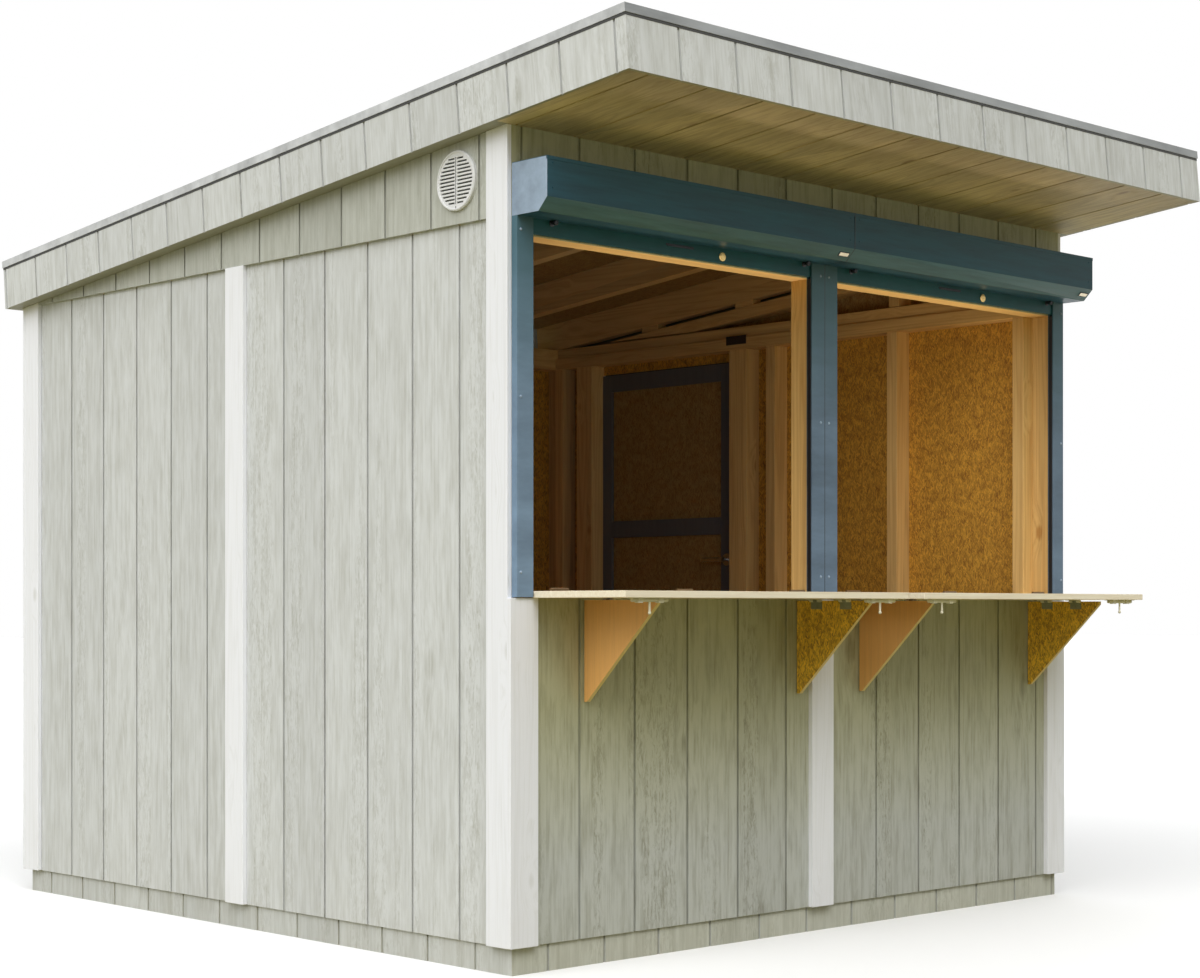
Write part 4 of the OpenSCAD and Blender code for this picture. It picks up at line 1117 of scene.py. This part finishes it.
class HUT_OT_shutters(bpy.types.Operator):
    """Finish the roller shutters and add their rivets, locks, pulls and stops"""

    bl_idname = "hut.shutters"
    bl_label = "Shutters"

    def execute(self, context):
        box = coated_material("shutter coating", colours().shutter, streaks=BOX_REFLECTION_STREAKS)
        lip = coated_material("shutter chamfer painted light", CHAMFER_LIGHT_COLOUR, streaks=BOX_REFLECTION_STREAKS)
        # Painted light: a lighter copy of the box coating on the ends, also used on the rail rivets.
        ends = coated_material("cap coating painted light", colours().cap)
        rail = coated_material("rail coating", colours().rail, top=RAIL_TOP_SHADE)
        shade = coated_material("shaded rail coating", toned(colours().rail, SHADED_TONE), top=RAIL_TOP_SHADE)
        curtain = coated_material("curtain coating", (0.02, 0.105, 0.13))
        brass = metal_material("brass", (0.78, 0.56, 0.22), 0.28, 0.1)
        black = plain_material("black plastic", (0.012, 0.012, 0.013), 0.45)
        plate = metal_material("champagne", (0.74, 0.66, 0.48), 0.42, 0.05)
        for side in ("left", "right"):
            dress(box, side + "_shutter_box")
            # Painted light on the chamfer faces.
            dress_faces(lip, faces_chamfer, side + "_shutter_box")
            dress_faces(ends, lambda normal, centre: abs(normal.x) > SQUARE, side + "_shutter_box")
            dress(rail, side + "_shutter_rails")
            dress_faces(shade, lambda normal, centre: centre.x > SHADED_FROM, side + "_shutter_rails")
            dress(curtain, side + "_shutter_curtain")
            soften(SHEET_ROUND, side + "_shutter_box", side + "_shutter_rails")
            self.fit_rails(side, ends, black)
            self.fit_box(side, box, black, plate)
            self.fit_slat(side, brass, black)
        self.fit_joints(black)
        return {"FINISHED"}

    def fit_joints(self, black):
        """Dark joint between the two boxes and between the two middle rails."""
        low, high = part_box("right_shutter_box")
        rail_low, rail_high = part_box("right_shutter_rails")
        foot, top = low.z - JOINT_PROUD, high.z + JOINT_TOP
        lid_face = low.y - LID_PROUD - JOINT_PROUD
        outline = [(high.y, foot), (low.y + BOX_CHAMFER, foot), (low.y - JOINT_PROUD, low.z + BOX_CHAMFER),
                   (lid_face, high.z - LID_DROP), (lid_face, top), (high.y, top)]

        def build(bm):
            ends = [[bm.verts.new((x, y, z)) for y, z in outline] for x in (-JOINT_HALF, JOINT_HALF)]
            bm.faces.new(ends[0])
            bm.faces.new(ends[1][::-1])
            for k in range(len(outline)):
                bm.faces.new((ends[0][k - 1], ends[0][k], ends[1][k], ends[1][k - 1]))
            slab(bm, (-JOINT_HALF, rail_low.y - JOINT_PROUD, rail_low.z),
                 (JOINT_HALF, rail_high.y - SEAT, rail_high.z), LIP_ROUND)
        piece("shutter_joints", build, black, "hut")

    def fit_rails(self, side, ends, black):
        """A shutter's rail rivets and the brushes beside its curtain."""
        low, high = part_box(side + "_shutter_rails")
        curtain_low, curtain_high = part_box(side + "_shutter_curtain")
        insets = RAIL_RIVET_INSETS if side == "left" else RAIL_RIVET_INSETS[::-1]

        def build_rivets(bm):
            for z in RAIL_RIVET_HEIGHTS:
                for x in (low.x + insets[0], high.x - insets[1]):
                    rivet(bm, RAIL_RIVET, (x, low.y, z), (0, -1, 0), 16)
        # Rail rivets in the lighter cap coating: painted highlight.
        piece(side + "_rail_rivets", build_rivets, ends, "hut")

        def build_brushes(bm):
            middle = (curtain_low.y + curtain_high.y) / 2
            for face, out in ((low.x + RAIL_WIDTH, 1), (high.x - RAIL_WIDTH, -1)):
                left, right = sorted((face - out * BRUSH_SEAT, face + out * BRUSH_REACH))
                for near, far in BRUSH_SIDES:
                    slab(bm, (left, middle + near, low.z + BRUSH_FOOT),
                         (right, middle + far, curtain_low.z - BRUSH_HEAD), STRIP_ROUND)
        piece(side + "_rail_brushes", build_brushes, black, "hut")

    def fit_box(self, side, box, black, plate):
        """A shutter box's rivets, lid and bare plate."""
        low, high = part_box(side + "_shutter_box")
        top = high.z + LID_RISE

        def build_rivets(bm):
            for x in (low.x + BOX_RIVET_INSET, high.x - BOX_RIVET_INSET):
                for z in (high.z - BOX_RIVET_DROP, low.z + BOX_RIVET_RISE):
                    rivet(bm, BOX_RIVET, (x, low.y, z), (0, -1, 0), 14)
        piece(side + "_box_rivets", build_rivets, box, "hut")

        def build_lid(bm):
            slab(bm, (low.x, low.y - LID_PROUD, high.z - LID_DROP),
                 (high.x, low.y + LID_LIP, top), PLATE_ROUND)
            slab(bm, (low.x, low.y + LID_LIP - SEAT, high.z - SEAT),
                 (high.x, high.y - LID_BACK, top), THIN_ROUND)
        piece(side + "_box_lid", build_lid, box, "hut")

        chamfer_middle = (high.x - BOX_PLATE_INSET, low.y + BOX_CHAMFER / 2, low.z + BOX_CHAMFER / 2)
        chamfer = facing(chamfer_middle, (0, -1, -1))
        name = side + "_box_plate"
        self.fit_plate(name + "_frame", BOX_PLATE_FRAME, PLATE_ROUND, chamfer, black, "vent_plastic")
        self.fit_plate(name, BOX_PLATE, THIN_ROUND, chamfer, plate, "handle_steel")

    def fit_plate(self, name, spans, edge, place, material, slot_name):
        """A flat plate on a box's chamfer."""
        (half_width, half_height), (bottom, top) = spans

        def build(bm):
            slab(bm, (-half_width, -half_height, bottom), (half_width, half_height, top), edge)
            move(bm, place)
        piece(name, build, material, "hut")

    def fit_slat(self, side, brass, black):
        """The lock, pull and stops on a curtain's lowest slat."""
        low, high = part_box(side + "_shutter_curtain")
        middle = (low.x + high.x) / 2
        face = low.y
        lock_x = middle + LOCK_OFFSET
        lock_z = low.z + LOCK_HEIGHT
        pull_z = low.z + PULL_HEIGHT

        def build_lock(bm):
            turned(bm, LOCK_PROFILE, facing((lock_x, face, lock_z), (0, -1, 0)), 32)
            slab(bm, (lock_x - KEYHOLE_HALF_WIDTH, face - KEYHOLE_PROUD, lock_z - KEYHOLE_HALF_HEIGHT),
                 (lock_x + KEYHOLE_HALF_WIDTH, face - KEYHOLE_FOOT, lock_z + KEYHOLE_HALF_HEIGHT))
        piece(side + "_shutter_lock", build_lock, brass, "hut")

        def build_pull(bm):
            slab(bm, (middle - PULL_HALF_WIDTH, face - PULL_PROUD, pull_z - PULL_HALF_HEIGHT),
                 (middle + PULL_HALF_WIDTH, face + SEAT, pull_z + PULL_HALF_HEIGHT), PULL_ROUND)
            slab(bm, (middle - GRIP_HALF_WIDTH, face - GRIP_PROUD, pull_z - GRIP_LOW),
                 (middle + GRIP_HALF_WIDTH, face + SEAT, pull_z - GRIP_HIGH), PULL_ROUND)
            for x in (low.x + STOP_INSETS[0], high.x - STOP_INSETS[1]):
                turned(bm, STOP_PROFILE, facing((x, face, low.z + STOP_HEIGHT), (0, -1, 0)), 20)
        piece(side + "_shutter_pull", build_pull, black, "hut")


class HUT_OT_stage(bpy.types.Operator):
    """Camera, floor and soft studio light"""

    bl_idname = "hut.stage"
    bl_label = "Stage"

    def execute(self, context):
        scene = context.scene
        scene.view_settings.view_transform = "Standard"
        self.place_camera(scene)
        self.lay_floor(scene)
        self.light_sky(scene)
        for name, values in LAMPS.items():
            self.hang_lamp(scene, name, **values)
        return {"FINISHED"}

    def place_camera(self, scene):
        """The photograph's camera, level, with a shifted lens."""
        lens = bpy.data.cameras.new("camera")
        lens.sensor_fit = "HORIZONTAL"
        lens.sensor_width = SENSOR
        lens.lens = SENSOR * FOCAL_PIXELS / PHOTO_WIDTH
        lens.shift_x = (PHOTO_WIDTH / 2 - PRINCIPAL_X) / PHOTO_WIDTH
        lens.shift_y = (HORIZON_Y - PHOTO_HEIGHT / 2) / PHOTO_WIDTH
        lens.clip_end = FAR_CLIP
        camera = bpy.data.objects.new("camera", lens)
        camera.location = CAMERA_PLACE
        camera.rotation_euler = (math.pi / 2, 0.0, -CAMERA_YAW)
        scene.collection.objects.link(camera)
        scene.camera = camera

    def lay_floor(self, scene):
        """Pale floor that throws a darker olive light on to the hut."""
        mesh = bpy.data.meshes.new("floor")
        corners = [(x * FLOOR_REACH, y * FLOOR_REACH, 0.0) for x, y in ((-1, -1), (1, -1), (1, 1), (-1, 1))]
        mesh.from_pydata(corners, [], [(0, 1, 2, 3)])
        floor = bpy.data.objects.new("floor", mesh)
        scene.collection.objects.link(floor)
        made, tree, shader, _ = new_material("floor")
        soft = add(tree, "LightPath").outputs["Is Diffuse Ray"]
        feed(tree, shader.inputs["Base Color"], mix(tree, soft, FLOOR_COLOUR, GROUND_BOUNCE))
        shader.inputs["Roughness"].default_value = 0.9
        mesh.materials.append(made)

    def light_sky(self, scene):
        """Soft sky with three bright sides, which looks plain white to the camera and in reflections."""
        world = bpy.data.worlds.new("sky")
        scene.world = world
        world.use_nodes = True
        tree = world.node_tree
        way = add(tree, "TexCoord").outputs["Generated"]
        strength = SKY_BASE
        for power, focus, source in SKY_LOBES:
            near = add(tree, "VectorMath", {0: way, 1: Vector(source).normalized()}, operation="DOT_PRODUCT")
            lobe = calc(tree, "POWER", calc(tree, "MAXIMUM", near.outputs["Value"], 0.0), focus)
            strength = calc(tree, "MULTIPLY_ADD", lobe, power, strength)
        soft = tree.nodes["Background"]
        feed(tree, soft.inputs["Color"], SKY_COLOUR)
        feed(tree, soft.inputs["Strength"], strength)
        plain = add(tree, "Background", {"Color": (1.0, 1.0, 1.0), "Strength": 1.0})
        path = add(tree, "LightPath").outputs
        mirrored = calc(tree, "MAXIMUM", path["Is Glossy Ray"], path["Is Transmission Ray"])
        seen = calc(tree, "MAXIMUM", path["Is Camera Ray"], mirrored)
        both = add(tree, "MixShader", {0: seen, 1: soft.outputs[0], 2: plain.outputs[0]})
        tree.links.new(both.outputs[0], tree.nodes["World Output"].inputs["Surface"])

    def hang_lamp(self, scene, name, power, colour, place, aim, spans, fan):
        """A weak area lamp that the camera doesn't see."""
        light = bpy.data.lights.new(name, "AREA")
        light.shape = "RECTANGLE"
        light.size, light.size_y = spans
        light.energy = power
        light.spread = math.radians(fan)
        light.color = colour
        lamp = bpy.data.objects.new(name, light)
        lamp.location = place
        lamp.rotation_euler = (Vector(aim) - Vector(place)).to_track_quat("-Z", "Y").to_euler()
        lamp.visible_camera = False
        scene.collection.objects.link(lamp)


class HUT_PT_panel(bpy.types.Panel):
    """Lists the hut's steps, sizes and colours"""

    bl_idname = "HUT_PT_panel"
    bl_label = "Market hut"
    bl_space_type = "VIEW_3D"
    bl_region_type = "UI"
    bl_category = "Hut"

    def draw(self, context):
        for step in STEPS:
            self.layout.operator(step.bl_idname)
        for group in (context.scene.hut_sizes, context.scene.hut_colours):
            for key in group.bl_rna.properties.keys():
                if key not in {"rna_type", "name"}:
                    self.layout.prop(group, key)


STEPS = (HUT_OT_siding, HUT_OT_trim, HUT_OT_frames, HUT_OT_roof, HUT_OT_door, HUT_OT_counters,
         HUT_OT_shutters, HUT_OT_stage)
CLASSES = (HutSizes, HutColours, *STEPS, HUT_PT_panel)


def register():
    for made in CLASSES:
        bpy.utils.register_class(made)
    bpy.types.Scene.hut_sizes = bpy.props.PointerProperty(type=HutSizes)
    bpy.types.Scene.hut_colours = bpy.props.PointerProperty(type=HutColours)


def unregister():
    del bpy.types.Scene.hut_colours
    del bpy.types.Scene.hut_sizes
    for made in reversed(CLASSES):
        bpy.utils.unregister_class(made)


def main():
    register()
    make_groups()
    for step in STEPS:
        family, action = step.bl_idname.split(".")
        getattr(getattr(bpy.ops, family), action)()


if __name__ == "__main__":
    main()
